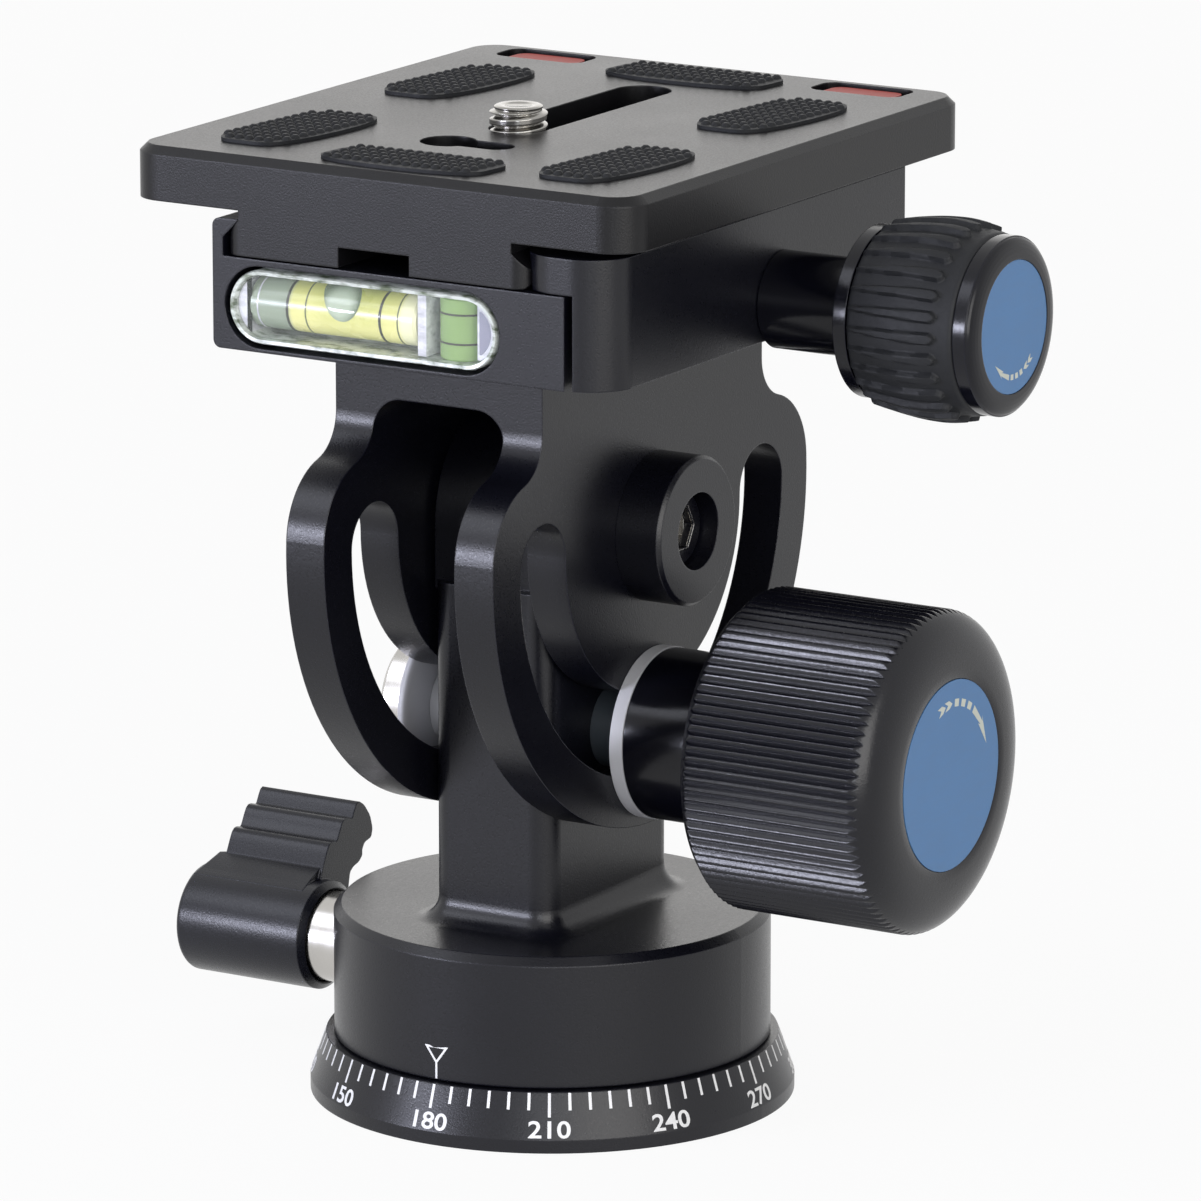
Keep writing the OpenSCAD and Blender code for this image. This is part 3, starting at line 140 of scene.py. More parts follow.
class HeadGrips(bpy.types.PropertyGroup):
    """Sizes of ridges, ribs, bumps and threads."""

    ridges: IntProperty(name="Knob ridges", description="Ridges round the tilt knob", default=96)
    ridge_height: length_property("Ridge height", "Height of the tilt knob's ridges", 0.48)
    ribs: IntProperty(name="Grip ribs", description="Ribs round the clamp knob's grip", default=28)
    rib_height: length_property("Rib height", "Height of the grip's ribs", 0.6)
    bump_pitch: length_property("Bump pitch", "Distance between two bumps of a pad", 1.24)
    bump_height: length_property("Bump height", "Height of a pad's bumps", 0.40)
    camera_pitch: length_property("Camera pitch", "Pitch of the camera thread", 1.27)
    tripod_pitch: length_property("Tripod pitch", "Pitch of the tripod thread", 1.5875)


class HeadStage(bpy.types.PropertyGroup):
    """Camera and floor."""

    place: FloatVectorProperty(
        name="Camera place", description="Where the camera stands", subtype="TRANSLATION",
        default=(0.5100, -0.8331, 0.2918),
    )
    turn: FloatVectorProperty(
        name="Camera turn", description="How the camera is turned", subtype="EULER",
        default=(math.pi / 2 - 0.23746, 0, 0.54384),
    )
    lens: FloatProperty(name="Lens", description="Focal length on a 36 mm frame", default=273.3)
    floor: colour_property("Floor", "Colour of the floor", (0.90, 0.90, 0.90))


def operator(operation, reflected=False):
    """Method that adds a Math node of a wire and another value, which comes first where it is reflected."""

    def method(self, other):
        first, second = (other, self) if reflected else (self, other)
        return self.nodes.add("ShaderNodeMath", {"operation": operation}, {0: first, 1: second})

    return method


class Wire:
    """An output socket; arithmetic on wires adds Math nodes to their tree."""

    __add__, __radd__ = operator("ADD"), operator("ADD", True)
    __sub__, __rsub__ = operator("SUBTRACT"), operator("SUBTRACT", True)
    __mul__, __rmul__ = operator("MULTIPLY"), operator("MULTIPLY", True)

    def __init__(self, nodes, socket):
        self.nodes = nodes
        self.socket = socket


class Nodes:
    """An emptied node tree, of a finish or of the world."""

    def __init__(self, tree):
        self.tree = tree
        tree.nodes.clear()

    def add(self, kind, settings=None, values=None, output=0):
        """Any node: its settings first, then the values or wires of its sockets."""
        node = self.tree.nodes.new(kind)
        for key, value in (settings or {}).items():
            setattr(node, key, value)
        for key, value in (values or {}).items():
            self.put(node.inputs[key], value)
        return Wire(self, node.outputs[output])

    def put(self, socket, value):
        """Links a wire to a socket, or sets the socket's own value."""
        if isinstance(value, Wire):
            self.tree.links.new(value.socket, socket)
        elif hasattr(value, "__len__") and len(value) == 3 and socket.type == "RGBA":
            socket.default_value = (*value, 1)
        else:
            socket.default_value = value

    def held(self, value):
        """Value held between 0 and 1."""
        return self.add("ShaderNodeClamp", None, {"Value": value})

    def seen(self):
        """One for rays that the camera, a mirror or glass sends, and zero for light that bounces."""
        path = self.add("ShaderNodeLightPath").socket.node.outputs
        rays = ("Is Camera Ray", "Is Glossy Ray", "Is Transmission Ray")
        camera, mirror, glass = [Wire(self, path[ray]) for ray in rays]
        return self.held(camera + mirror + glass)


BEVEL_SAMPLES = 6
EDGE_GAIN = 5
NOISE_ROUGHNESS = 0.6


class Finish(Nodes):
    """A material with one Principled surface and the nodes that feed it."""

    def __init__(self, name):
        self.material = bpy.data.materials.new(name)
        self.material.use_nodes = True
        super().__init__(self.material.node_tree)
        self.output = self.tree.nodes.new("ShaderNodeOutputMaterial")
        self.shader = self.tree.nodes.new("ShaderNodeBsdfPrincipled")
        self.tree.links.new(self.shader.outputs[0], self.output.inputs[0])

    def surface(self, **values):
        """Sets the Principled sockets; underscores in a name stand for spaces."""
        for name, value in values.items():
            self.put(self.shader.inputs[name.replace("_", " ")], value)
        return self.material

    def place(self):
        """Object coordinates."""
        return self.add("ShaderNodeTexCoord", output="Object")

    def noise(self, scale, detail=2.0, stretch=None):
        """Noise over the surface, from 0 to 1; stretch scales it along the axes."""
        place = self.place()
        if stretch:
            place = self.add("ShaderNodeMapping", None, {"Vector": place, "Scale": stretch})
        values = {"Vector": place, "Scale": scale, "Detail": detail, "Roughness": NOISE_ROUGHNESS}
        return self.add("ShaderNodeTexNoise", None, values)

    def blend(self, factor, first, second):
        """Colour between two colours."""
        return self.add("ShaderNodeMix", {"data_type": "RGBA"}, {0: factor, 6: first, 7: second}, 2)

    def share(self, value, start, stop):
        """Share of the way of a value between two others, held between 0 and 1."""
        values = {"Value": value, "From Min": start, "From Max": stop}
        return self.add("ShaderNodeMapRange", {"clamp": True}, values)

    def along(self, axis, start, stop):
        """Share of the way between two places in millimetres along an axis, held between 0 and 1."""
        place = self.add("ShaderNodeSeparateXYZ", None, {"Vector": self.place()}, axis)
        return self.share(place, start * MM, stop * MM)

    def eased(self, radius):
        """Normal with sharp edges eased over a radius in millimetres."""
        return self.add("ShaderNodeBevel", {"samples": BEVEL_SAMPLES}, {"Radius": radius * MM})

    def edges(self, eased):
        """Mask of the eased edges: one minus the cosine between eased and true normal."""
        true = self.add("ShaderNodeNewGeometry", output="Normal")
        cosine = self.add("ShaderNodeVectorMath", {"operation": "DOT_PRODUCT"}, {0: eased, 1: true}, "Value")
        return self.held((1 - cosine) * EDGE_GAIN)

    def bump(self, height, strength, depth, normal=None):
        """Bump of a height in millimetres, on top of a normal."""
        values = {"Strength": strength, "Distance": depth * MM, "Height": height}
        if normal is not None:
            values["Normal"] = normal
        return self.add("ShaderNodeBump", None, values)


def scaled(colour, factor):
    """Colour times a factor, kept within range."""
    return tuple(min(1.0, channel * factor) for channel in colour)


def anodised(name, colour, roughness, ease=0.22, grain_depth=0.035, shine=0.38):
    """Bead-blasted anodised aluminium: cloudy tone, sparkling grain, and sharp edges made paler by a painted
    highlight.
    """
    f = Finish(name)
    grain = f.noise(4600.0)
    cloud = f.noise(55.0)
    eased = f.eased(ease)
    edge = f.edges(eased)
    tone = f.blend(cloud, scaled(colour, 0.75), scaled(colour, 1.3))
    tone = f.blend(grain * 0.5, tone, scaled(colour, 2.2))
    return f.surface(
        # Painted highlight: eased edges take a paler colour, standing in for light caught by small chamfers
        Base_Color=f.blend(edge * 0.6, tone, scaled(colour, 6)),
        Roughness=roughness + (cloud - 0.5) * 0.08 + (grain - 0.5) * 0.22 - edge * 0.06,
        Specular_IOR_Level=shine,
        Normal=f.bump(grain, 0.5, grain_depth, eased),
    )


def turned_metal(name, colour, roughness, stretch, ease=0.15):
    """Turned metal: fine lathe marks across the stretch, with a cloudy tone."""
    f = Finish(name)
    marks = f.noise(900.0, stretch=stretch)
    cloud = f.noise(120.0)
    return f.surface(
        Base_Color=f.blend(cloud, scaled(colour, 0.85), scaled(colour, 1.1)),
        Metallic=1.0,
        Roughness=roughness + (marks - 0.5) * 0.22 + (cloud - 0.5) * 0.06,
        Normal=f.bump(marks, 0.25, 0.006, f.eased(ease)),
    )


def rubber(name, colour):
    """Moulded rubber: matt and cloudy, with fine pores."""
    f = Finish(name)
    pores = f.noise(1900.0, 4.0)
    cloud = f.noise(140.0, 3.0)
    return f.surface(
        Base_Color=f.blend(cloud, scaled(colour, 0.8), scaled(colour, 1.6)),
        Roughness=0.58 + (pores - 0.5) * 0.25,
        Specular_IOR_Level=0.30,
        Normal=f.bump(pores, 0.8, 0.035),
    )


def nylon(name, colour):
    """Turned nylon: slightly waxy, with faint turning lines."""
    f = Finish(name)
    lines = f.noise(800.0, stretch=(1.0, 0.1, 0.1))
    cloud = f.noise(160.0)
    return f.surface(
        Base_Color=f.blend(cloud, scaled(colour, 0.9), scaled(colour, 1.08)),
        Roughness=0.42 + (lines - 0.5) * 0.2,
        Normal=f.bump(lines, 0.3, 0.01, f.eased(0.15)),
    )


def satin_blue(name, colour):
    """Blue anodised disc with a fine satin brushing."""
    f = Finish(name)
    brushed = f.noise(1500.0, 3.0, (1.0, 0.25, 1.0))
    cloud = f.noise(90.0)
    return f.surface(
        Base_Color=f.blend(brushed * 0.6 + cloud * 0.4, scaled(colour, 0.86), scaled(colour, 1.14)),
        Metallic=0.15,
        Roughness=0.42 + (brushed - 0.5) * 0.15,
        Normal=f.bump(brushed, 0.2, 0.004, f.eased(0.1)),
    )


def plastic(name, colour, roughness, alpha=1.0, shine=0.5, coat=0.3):
    """Smooth moulded plastic with faint unevenness."""
    f = Finish(name)
    cloud = f.noise(110.0)
    return f.surface(
        Base_Color=f.blend(cloud, scaled(colour, 0.92), scaled(colour, 1.06)),
        Roughness=roughness + (cloud - 0.5) * 0.06,
        Alpha=alpha,
        Specular_IOR_Level=shine,
        Coat_Weight=coat,
    )


# Places along the level's long vial, in X, between which its tint changes
VIAL_CLEAR = (-11.6, -10.9)
VIAL_NEAR = (-6.5, -9.0)
VIAL_FAR = (-1.0, 3.4)
VIAL_PALE = (2.4, 3.0)
BUBBLE_X = -4.9
BUBBLE_HALF = 2.35
# Lowest and highest place of the bubble's shading, from the vial's middle
BUBBLE_SHADE = (-1.5, 3.1)


def vial_glass(name, colour):
    """Tinted liquid in a clear tube.

    It is grey-green in the solid end, and yellow beside the bubble and far along.
    Its brighter yellow low down is painted light gathered in the liquid.
    """
    f = Finish(name)
    tinted = f.along("X", *VIAL_CLEAR)
    far = f.along("X", *VIAL_FAR)
    near = f.along("X", *VIAL_NEAR)
    # Painted light: the liquid grows brighter yellow towards the vial's bottom
    low = f.along("Z", VIAL.high[2] - 0.8, VIAL.low[2] + 1.2)
    cloud = f.noise(220.0)
    glow = f.held(low * 0.7 + far * 0.4 + near * 0.25)
    tint = f.blend(glow, scaled(colour, 0.72), (0.86, 0.82, 0.34))
    tint = f.blend(f.along("X", *VIAL_PALE) * 0.7, tint, (0.86, 0.86, 0.62))
    clear = f.blend(cloud, (0.20, 0.25, 0.18), (0.34, 0.40, 0.30))
    return f.surface(
        Base_Color=f.blend(tinted, clear, tint),
        Roughness=0.24 + cloud * 0.08,
        Coat_Weight=0.3,
        Coat_Roughness=0.25,
    )


def mottled(name, dark, pale):
    """Cast clear plastic over a pale ground, as one opaque colour: uneven, with darker flecks that are
    painted dark reflections.
    """
    f = Finish(name)
    fleck = f.noise(700.0, 3.0, (0.5, 1.0, 1.4))
    return f.surface(
        Base_Color=f.blend(f.share(fleck, 0.36, 0.56), dark, pale),
        Roughness=0.16 + fleck * 0.1,
        Coat_Weight=0.6,
    )


def bubble_glass(name, dark):
    """Bubble as a grey-green lens: painted shade darkens it towards its rim, and a painted highlight makes
    its middle pale.
    """
    f = Finish(name)
    cloud = f.noise(420.0)
    low, high = [VIAL.middle[2] + place for place in BUBBLE_SHADE]
    across = f.along("X", BUBBLE_X - BUBBLE_HALF, BUBBLE_X + BUBBLE_HALF) * 2 - 1
    down = f.along("Z", low, high) * 2 - 1
    # Painted shade towards the rim, painted highlight in the middle
    rim = f.share(across * across + down * down, 0.25, 0.95)
    pale = f.blend(cloud, (0.40, 0.48, 0.36), (0.52, 0.60, 0.46))
    return f.surface(
        Base_Color=f.blend(rim, pale, dark),
        Roughness=0.12,
        Coat_Weight=0.8,
    )


# Stretch of the lathe marks on pieces turned about X and about Z
TURNED_X = (1.0, 0.06, 0.06)
TURNED_Z = (0.06, 0.06, 1.0)


def make_finishes(colours):
    """All finishes by the record's slot, and those that only marks and the level use."""
    recipes = {
        "anodised_black": (anodised, colours.black, 0.31),
        "polished_black": (anodised, colours.black, 0.17, 0.15, 0.008, 0.28),
        "knob_black": (anodised, colours.black, 0.24, 0.06),
        "plate_black": (anodised, colours.plate, 0.33, 0.22, 0.035, 0.29),
        "lever_black": (anodised, colours.lever, 0.29),
        "steel": (turned_metal, colours.steel, 0.24, TURNED_X),
        "black_steel": (turned_metal, (0.03, 0.03, 0.033), 0.22, TURNED_X),
        "chrome": (turned_metal, colours.chrome, 0.22, TURNED_Z, 0.05),
        "bronze": (turned_metal, colours.bronze, 0.32, TURNED_X),
        "rubber_black": (rubber, colours.rubber),
        "nylon_pale": (nylon, colours.pale),
        "nylon_dark": (nylon, colours.dark),
        "disc_blue": (satin_blue, colours.blue),
        "bar_red": (plastic, colours.red, 0.45, 1.0, 0.10, 0.0),
        "clear_acrylic": (plastic, (0.80, 0.86, 0.78), 0.05, 0.05),
        "vial_liquid": (vial_glass, colours.liquid),
        "mark": (plastic, colours.mark, 0.55),
        "arrow": (plastic, colours.arrow, 0.50),
        "level_glass": (mottled, (0.12, 0.15, 0.10), (0.62, 0.66, 0.62)),
        "level_lilac": (mottled, (0.50, 0.50, 0.56), (0.74, 0.74, 0.80)),
        "level_grey": (plastic, (0.13, 0.15, 0.07), 0.4),
        "level_shade": (plastic, (0.27, 0.27, 0.36), 0.2),
        "level_line": (plastic, (0.020, 0.022, 0.012), 0.4),
        "bubble": (bubble_glass, (0.13, 0.18, 0.11)),
        "short_liquid": (plastic, (0.24, 0.38, 0.13), 0.10),
    }
    return {name: make(name, tuple(colour), *rest) for name, (make, colour, *rest) in recipes.items()}


FINISHES = {}
MERGE_DISTANCE = 2e-7
# Room between a piece and the hole that it sits in, and the usual easing of an edge
ROOM = 0.06
EASE = 0.2


def stacked(*coordinates):
    """Points from arrays or single values of their coordinates, widened to one shape."""
    return np.stack(np.broadcast_arrays(*coordinates), -1)


def quads(rows, columns, wrap_rows=False, wrap_columns=False):
    """Corner numbers of the quads of a grid of rows by columns, closed where it wraps."""
    row = np.arange(rows if wrap_rows else rows - 1)[:, None]
    column = np.arange(columns if wrap_columns else columns - 1)[None, :]
    below = (row + 1) % rows
    beside = (column + 1) % columns
    corners = [row * columns + column, below * columns + column,
               below * columns + beside, row * columns + beside]
    return stacked(*corners).reshape(-1, 4)


def lathe(profile, count, axis, centre, closed=False, carve=None):
    """Profile of radius and height turned about an axis, which is 0 for X or 2 for Z.

    A closed profile is a ring; an open one ends on the axis.
    carve(angle, height, radius) may reshape the radius.
    """
    profile = np.asarray(profile, float)
    angle = np.arange(count)[:, None] * TURN / count
    radius, height = profile[None, :, 0], profile[None, :, 1]
    if carve is not None:
        radius = carve(angle, height, radius)
    across, up = radius * np.cos(angle), radius * np.sin(angle)
    order = (height, across, up) if axis == 0 else (across, up, height)
    points = stacked(*order).reshape(-1, 3) + np.asarray(centre, float)
    return points, quads(count, len(profile), True, closed)


def prisms(low, high):
    """Prisms from n polygons of k corners and the same polygons moved: two ends and k sides each."""
    low, high = np.asarray(low, float), np.asarray(high, float)
    count, corners = low.shape[:2]
    points = np.concatenate([low, high], 1).reshape(-1, 3)
    start = np.arange(count)[:, None] * 2 * corners
    ring = np.arange(corners)[None, :]
    beside = (ring + 1) % corners
    sides = stacked(start + ring, start + beside, start + corners + beside, start + corners + ring)
    ends = np.concatenate([start + ring[:, ::-1], start + corners + ring])
    return points, sides.reshape(-1, 4).tolist() + ends.tolist()


def arc(centre, radius, start, stop, count):
    """Points of an arc in a profile, by angle in degrees."""
    angle = np.radians(np.linspace(start, stop, count))
    return stacked(centre[0] + radius * np.cos(angle), centre[1] + radius * np.sin(angle))


def smooth(value):
    """Smooth step of values held between 0 and 1: 3 v^2 - 2 v^3."""
    value = np.clip(value, 0, 1)
    return value * value * (3 - 2 * value)


def join(shells):
    """Several shells of points and faces as one."""
    points, faces, start = [], [], 0
    for shell_points, shell_faces in shells:
        points.append(shell_points)
        faces += [[start + corner for corner in face] for face in np.asarray(shell_faces, object).tolist()]
        start += len(shell_points)
    return np.concatenate(points), faces


def piece(name, shells, finish, body, replaced=(), sharp=35, bevel=0.0):
    """Mesh object from shells in millimetres, with closed seams and outward faces, riding on a body."""
    points, faces = join(shells)
    mesh = bpy.data.meshes.new(name)
    mesh.from_pydata((points * MM).tolist(), [], faces)
    work = bmesh.new()
    work.from_mesh(mesh)
    bmesh.ops.remove_doubles(work, verts=work.verts, dist=MERGE_DISTANCE)
    bmesh.ops.recalc_face_normals(work, faces=work.faces)
    work.to_mesh(mesh)
    work.free()
    mesh.shade_smooth()
    mesh.set_sharp_from_angle(angle=math.radians(sharp))
    mesh.materials.append(FINISHES[finish])
    made = bpy.data.objects.new(name, mesh)
    bpy.context.scene.collection.objects.link(made)
    if bevel:
        ease = made.modifiers.new("eased_edges", "BEVEL")
        ease.width = bevel * MM
        ease.segments = 2
        ease.limit_method = "ANGLE"
        ease.angle_limit = math.radians(sharp)
    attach(made, body)
    if replaced:
        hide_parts(*replaced)
    return made


# Solids whose finish differs from the rest of their material
OTHER_FINISHES = dict.fromkeys(("tilt_collar", "clamp_knob_core", "clamp_knob_cap"), "polished_black")


class HEAD_OT_finishes(bpy.types.Operator):
    """Gives every solid its finish"""

    bl_idname = "tripod_head.finishes"
    bl_label = "Finishes of the solids"

    def execute(self, context):
        FINISHES.update(make_finishes(context.scene.head_finishes))
        slots = {entry["node"]: entry["material_slot"] for entry in frame["record"]["subparts"]}
        slots.update(OTHER_FINISHES)
        for node, solid in frame["nodes"].items():
            solid.data.materials.clear()
            solid.data.materials.append(FINISHES[slots[node]])
        return {"FINISHED"}


# Degree scale
RIM_TOP = 1.5
SCALE_TOP_R = 25.2
SCALE_RUN = BASE.high[0] - SCALE_TOP_R
SCALE_RISE = BASE.high[2] - RIM_TOP
SCALE_SLOPE = math.hypot(SCALE_RUN, SCALE_RISE)
SCALE_MARGIN = 0.06
SCALE_TURN = 0.7
DIGIT_STRETCH = 1.2
DIGIT_SIZE = 1.38
DIGIT_BOLD = 0.022
DIGIT_STEPS = 5
DIGIT_GAP = 0.35
DIGIT_INSET = 0.6
INDEX_VALUE = 180
INDEX_ANGLE = -90


def on_scale(angle, up, lift):
    """Point on the base's bevel: angle in radians, distance up the slope, height above it.

    The radius is rim - up * run / slope + lift * rise / slope.
    The height is rim top + up * rise / slope + lift * run / slope.
    """
    radius = BASE.high[0] - up * SCALE_RUN / SCALE_SLOPE + lift * SCALE_RISE / SCALE_SLOPE
    height = RIM_TOP + up * SCALE_RISE / SCALE_SLOPE + lift * SCALE_RUN / SCALE_SLOPE
    return stacked(radius * np.cos(angle), radius * np.sin(angle), height)


def digits(text, height, thickness):
    """Points and triangles of a number, upright in X and Y, centred, of a height and thickness."""
    curve = bpy.data.curves.new("digits", "FONT")
    curve.body = text
    curve.align_x = "CENTER"
    curve.size = height * DIGIT_SIZE
    curve.extrude = thickness / 2
    curve.offset = height * DIGIT_BOLD
    curve.resolution_u = DIGIT_STEPS
    holder = bpy.data.objects.new("digits", curve)
    bpy.context.scene.collection.objects.link(holder)
    shown = holder.evaluated_get(bpy.context.evaluated_depsgraph_get())
    mesh = shown.to_mesh()
    mesh.calc_loop_triangles()
    points = np.zeros(len(mesh.vertices) * 3)
    mesh.vertices.foreach_get("co", points)
    corners = np.zeros(len(mesh.loop_triangles) * 3, int)
    mesh.loop_triangles.foreach_get("vertices", corners)
    shown.to_mesh_clear()
    bpy.data.objects.remove(holder)
    bpy.data.curves.remove(curve)
    return points.reshape(-1, 3), corners.reshape(-1, 3)


def scale_angle(value):
    """Angle of a scale value, in radians."""
    return np.radians(INDEX_ANGLE + SCALE_TURN + value - INDEX_VALUE)


class HEAD_OT_scale(bpy.types.Operator):
    """Prints the degree scale on the base's bevel"""

    bl_idname = "tripod_head.scale"
    bl_label = "Degree scale"

    def execute(self, context):
        marks = context.scene.head_marks
        paint = marks.paint / MM
        top = SCALE_SLOPE - SCALE_MARGIN
        values = np.arange(0, 360, marks.step)
        numbered = values % marks.number_step == 0
        length = np.where(numbered, marks.tick_long, marks.tick_short) / MM
        half = marks.tick_width / MM / 2 / BASE.high[0]
        angle = scale_angle(values)[:, None] + np.array([-half, half, half, -half])
        foot = top - length
        up = stacked(foot, foot, top, top)
        shells = [prisms(on_scale(angle, up, -paint), on_scale(angle, up, paint))]
        digit_height = marks.digit_height / MM
        digit_foot = top - marks.tick_long / MM - digit_height - DIGIT_GAP
        for value in range(0, 360, marks.number_step):
            points, faces = digits(str(value), digit_height, 2 * paint)
            turned = scale_angle(value) + DIGIT_STRETCH * points[:, 0] / (BASE.high[0] - DIGIT_INSET)
            shells.append((on_scale(turned, digit_foot + points[:, 1], points[:, 2]), faces))
        piece("degree_scale", shells, "mark", "base")
        return {"FINISHED"}


# Index triangle: heights above the drum's foot, and the width of its lines
INDEX_FOOT = 1.75
INDEX_TOP = 3.8
INDEX_HALF = 1.5
INDEX_LINE = 0.24
INDEX_STEM = (0.1, 1.95)


class HEAD_OT_index(bpy.types.Operator):
    """Prints the index triangle on the drum"""

    bl_idname = "tripod_head.index"
    bl_label = "Index triangle"

    def execute(self, context):
        paint = context.scene.head_marks.paint / MM
        drum_r = HOUSING.high[0]
        outer = np.array([[0, INDEX_FOOT], [INDEX_HALF, INDEX_TOP], [-INDEX_HALF, INDEX_TOP]])
        lengths = np.linalg.norm(np.roll(outer, 1, 0) - np.roll(outer, -1, 0), axis=1)[:, None]
        middle = (outer * lengths).sum(0) / lengths.sum()
        inner = middle + (outer - middle) * (1 - INDEX_LINE / (INDEX_TOP - middle[1]))
        sides = np.stack([outer, np.roll(outer, -1, 0), np.roll(inner, -1, 0), inner], 1)
        half = INDEX_LINE / 2
        low, high = INDEX_STEM
        stem = [[[-half, low], [half, low], [half, high], [-half, high]]]
        flat = np.concatenate([sides, stem])

        def on_drum(lift):
            """Flat corners wrapped round the drum: the angle is the distance across over the radius."""
            angle = math.radians(INDEX_ANGLE) + flat[..., 0] / drum_r
            radius = drum_r + lift
            height = HOUSING.low[2] + flat[..., 1]
            return stacked(radius * np.cos(angle), radius * np.sin(angle), height)

        shells = [prisms(on_drum(-paint), on_drum(paint))]
        piece("index_triangle", shells, "mark", "pan_body")
        return {"FINISHED"}


# Tilt knob
KNOB_R = KNOB.half[1]
KNOB_BEVEL = 1.1
KNOB_ROUND_R = 6.0
KNOB_ROUND_L = 3.2
KNOB_HUB_R = 9.0
KNOB_LIP = 0.25
KNOB_LIP_FALL = 0.12
# Ends of the straight side, from the knob's back and from its rounding
KNOB_SIDE = (1.4, 0.4)
KNOB_SIDE_ROWS = 6
RIDGE_CREST = 0.22
RIDGE_STEPS = 10


class HEAD_OT_tilt_knob(bpy.types.Operator):
    """Turns the big knob with its pointed ridges"""

    bl_idname = "tripod_head.tilt_knob"
    bl_label = "Tilt knob"

    def execute(self, context):
        grips = context.scene.head_grips
        back, face = KNOB.low[0], KNOB.high[0]
        disc_r = KNOB_DISC.half[1] + ROOM
        disc_floor = KNOB_DISC.low[0]
        round_x = face - KNOB_ROUND_L
        bevel = np.linspace(0, KNOB_BEVEL, 10)
        side = np.linspace(back + KNOB_SIDE[0], round_x - KNOB_SIDE[1], KNOB_SIDE_ROWS)
        # Rows lie closer where the ridges run out
        turn = np.radians(np.concatenate([np.linspace(0, 28, 15), np.linspace(34, 90, 10)]))
        round_r = KNOB_R - KNOB_ROUND_R * (1 - np.cos(turn))
        rows = np.concatenate([
            [[0, back], [KNOB_HUB_R, back]],
            stacked(KNOB_R - KNOB_BEVEL + bevel, back + bevel),
            stacked(KNOB_R, side),
            stacked(round_r, round_x + KNOB_ROUND_L * np.sin(turn)),
            [[disc_r + KNOB_LIP, face], [disc_r, face - KNOB_LIP_FALL], [disc_r, disc_floor],
             [0, disc_floor]],
        ])

        def ridged(angle, height, radius):
            """The lesser of the turned outline and a row of ridges.

            The hyperbola sqrt(t^2 + c^2) rounds each crest.
            """
            across = 2 * (angle * grips.ridges / TURN % 1) - 1
            fall = np.sqrt(across ** 2 + RIDGE_CREST ** 2) - RIDGE_CREST
            deepest = math.sqrt(1 + RIDGE_CREST ** 2) - RIDGE_CREST
            return np.minimum(radius, KNOB_R - grips.ridge_height / MM * fall / deepest)

        shell = lathe(rows, grips.ridges * RIDGE_STEPS, 0, (0, 0, KNOB.middle[2]), carve=ridged)
        piece("tilt_knob_ridged", [shell], "knob_black", "tilt_lock", ["tilt_knob"], 42)
        return {"FINISHED"}


# Clamp knob's grip; places along it and along its leaves are shares of its length
GRIP_END_R = 9.45
GRIP_FRONT_R = 9.8
GRIP_WIDE_R = 10.4
GRIP_WIDE_AT = 0.62
GRIP_FALL_L = 0.46
GRIP_FALL_GAIN = 1.15
GRIP_HUB_R = 7.5
GRIP_EDGE = 0.3
GRIP_ROUND = (0.35, 0.10)
LEAF_HALF = 0.31
LEAF_START = 0.06
LEAF_WIDE = 0.79
LEAF_END = 0.855
LEAF_POWER = 0.3
LEAF_FLANK = 0.30
LEAF_STEPS = 16


class HEAD_OT_clamp_grip(bpy.types.Operator):
    """Moulds the clamp knob's rubber grip with its leaf-shaped ribs"""

    bl_idname = "tripod_head.clamp_grip"
    bl_label = "Clamp grip"

    def execute(self, context):
        grips = context.scene.head_grips
        back, face = GRIP.low[0], GRIP.high[0]
        # Rows lie closer at the leaves' round ends
        places = np.concatenate([
            [0.006, 0.02], np.linspace(0.04, 0.72, 30), np.linspace(0.735, 0.875, 24),
            np.linspace(0.89, 0.96, 5), [0.98, 0.994],
        ])
        rise = np.sin(np.minimum(places / GRIP_WIDE_AT, 1) * math.pi / 2)
        fall = smooth((places - GRIP_WIDE_AT) / GRIP_FALL_L)
        barrel = GRIP_END_R + (GRIP_WIDE_R - GRIP_END_R) * rise
        barrel -= (GRIP_WIDE_R - GRIP_FRONT_R) * fall * GRIP_FALL_GAIN
        for row, cut in enumerate(GRIP_ROUND):
            barrel[[row, -1 - row]] -= cut
        rows = np.concatenate([
            [[GRIP_HUB_R, back], [barrel[0] - GRIP_EDGE, back]],
            stacked(barrel, back + places * (face - back)),
            [[barrel[-1] - GRIP_EDGE, face], [GRIP_HUB_R, face]],
        ])

        def ribs(angle, height, radius):
            """Raised leaves: the half width grows as a root of the length and closes in a round end."""
            share = (height - back) / (face - back)
            step = TURN / grips.ribs
            off = np.abs((angle / step + 0.5) % 1 - 0.5)
            early = LEAF_HALF * np.clip(share / LEAF_WIDE, 0, 1) ** LEAF_POWER
            past = (share - LEAF_WIDE) / (LEAF_END - LEAF_WIDE)
            late = LEAF_HALF * np.sqrt(np.clip(1 - past ** 2, 0, 1))
            inside = (np.where(share < LEAF_WIDE, early, late) - off) * step * GRIP_WIDE_R
            start = smooth(share / LEAF_START)
            return radius + grips.rib_height / MM * smooth(inside / LEAF_FLANK) * start

        shell = lathe(rows, grips.ribs * LEAF_STEPS, 0, (0, 0, GRIP.middle[2]), True, ribs)
        piece("clamp_grip_ribbed", [shell], "rubber_black", "clamp_knob",
              ["clamp_knob_grip"], 50)
        return {"FINISHED"}


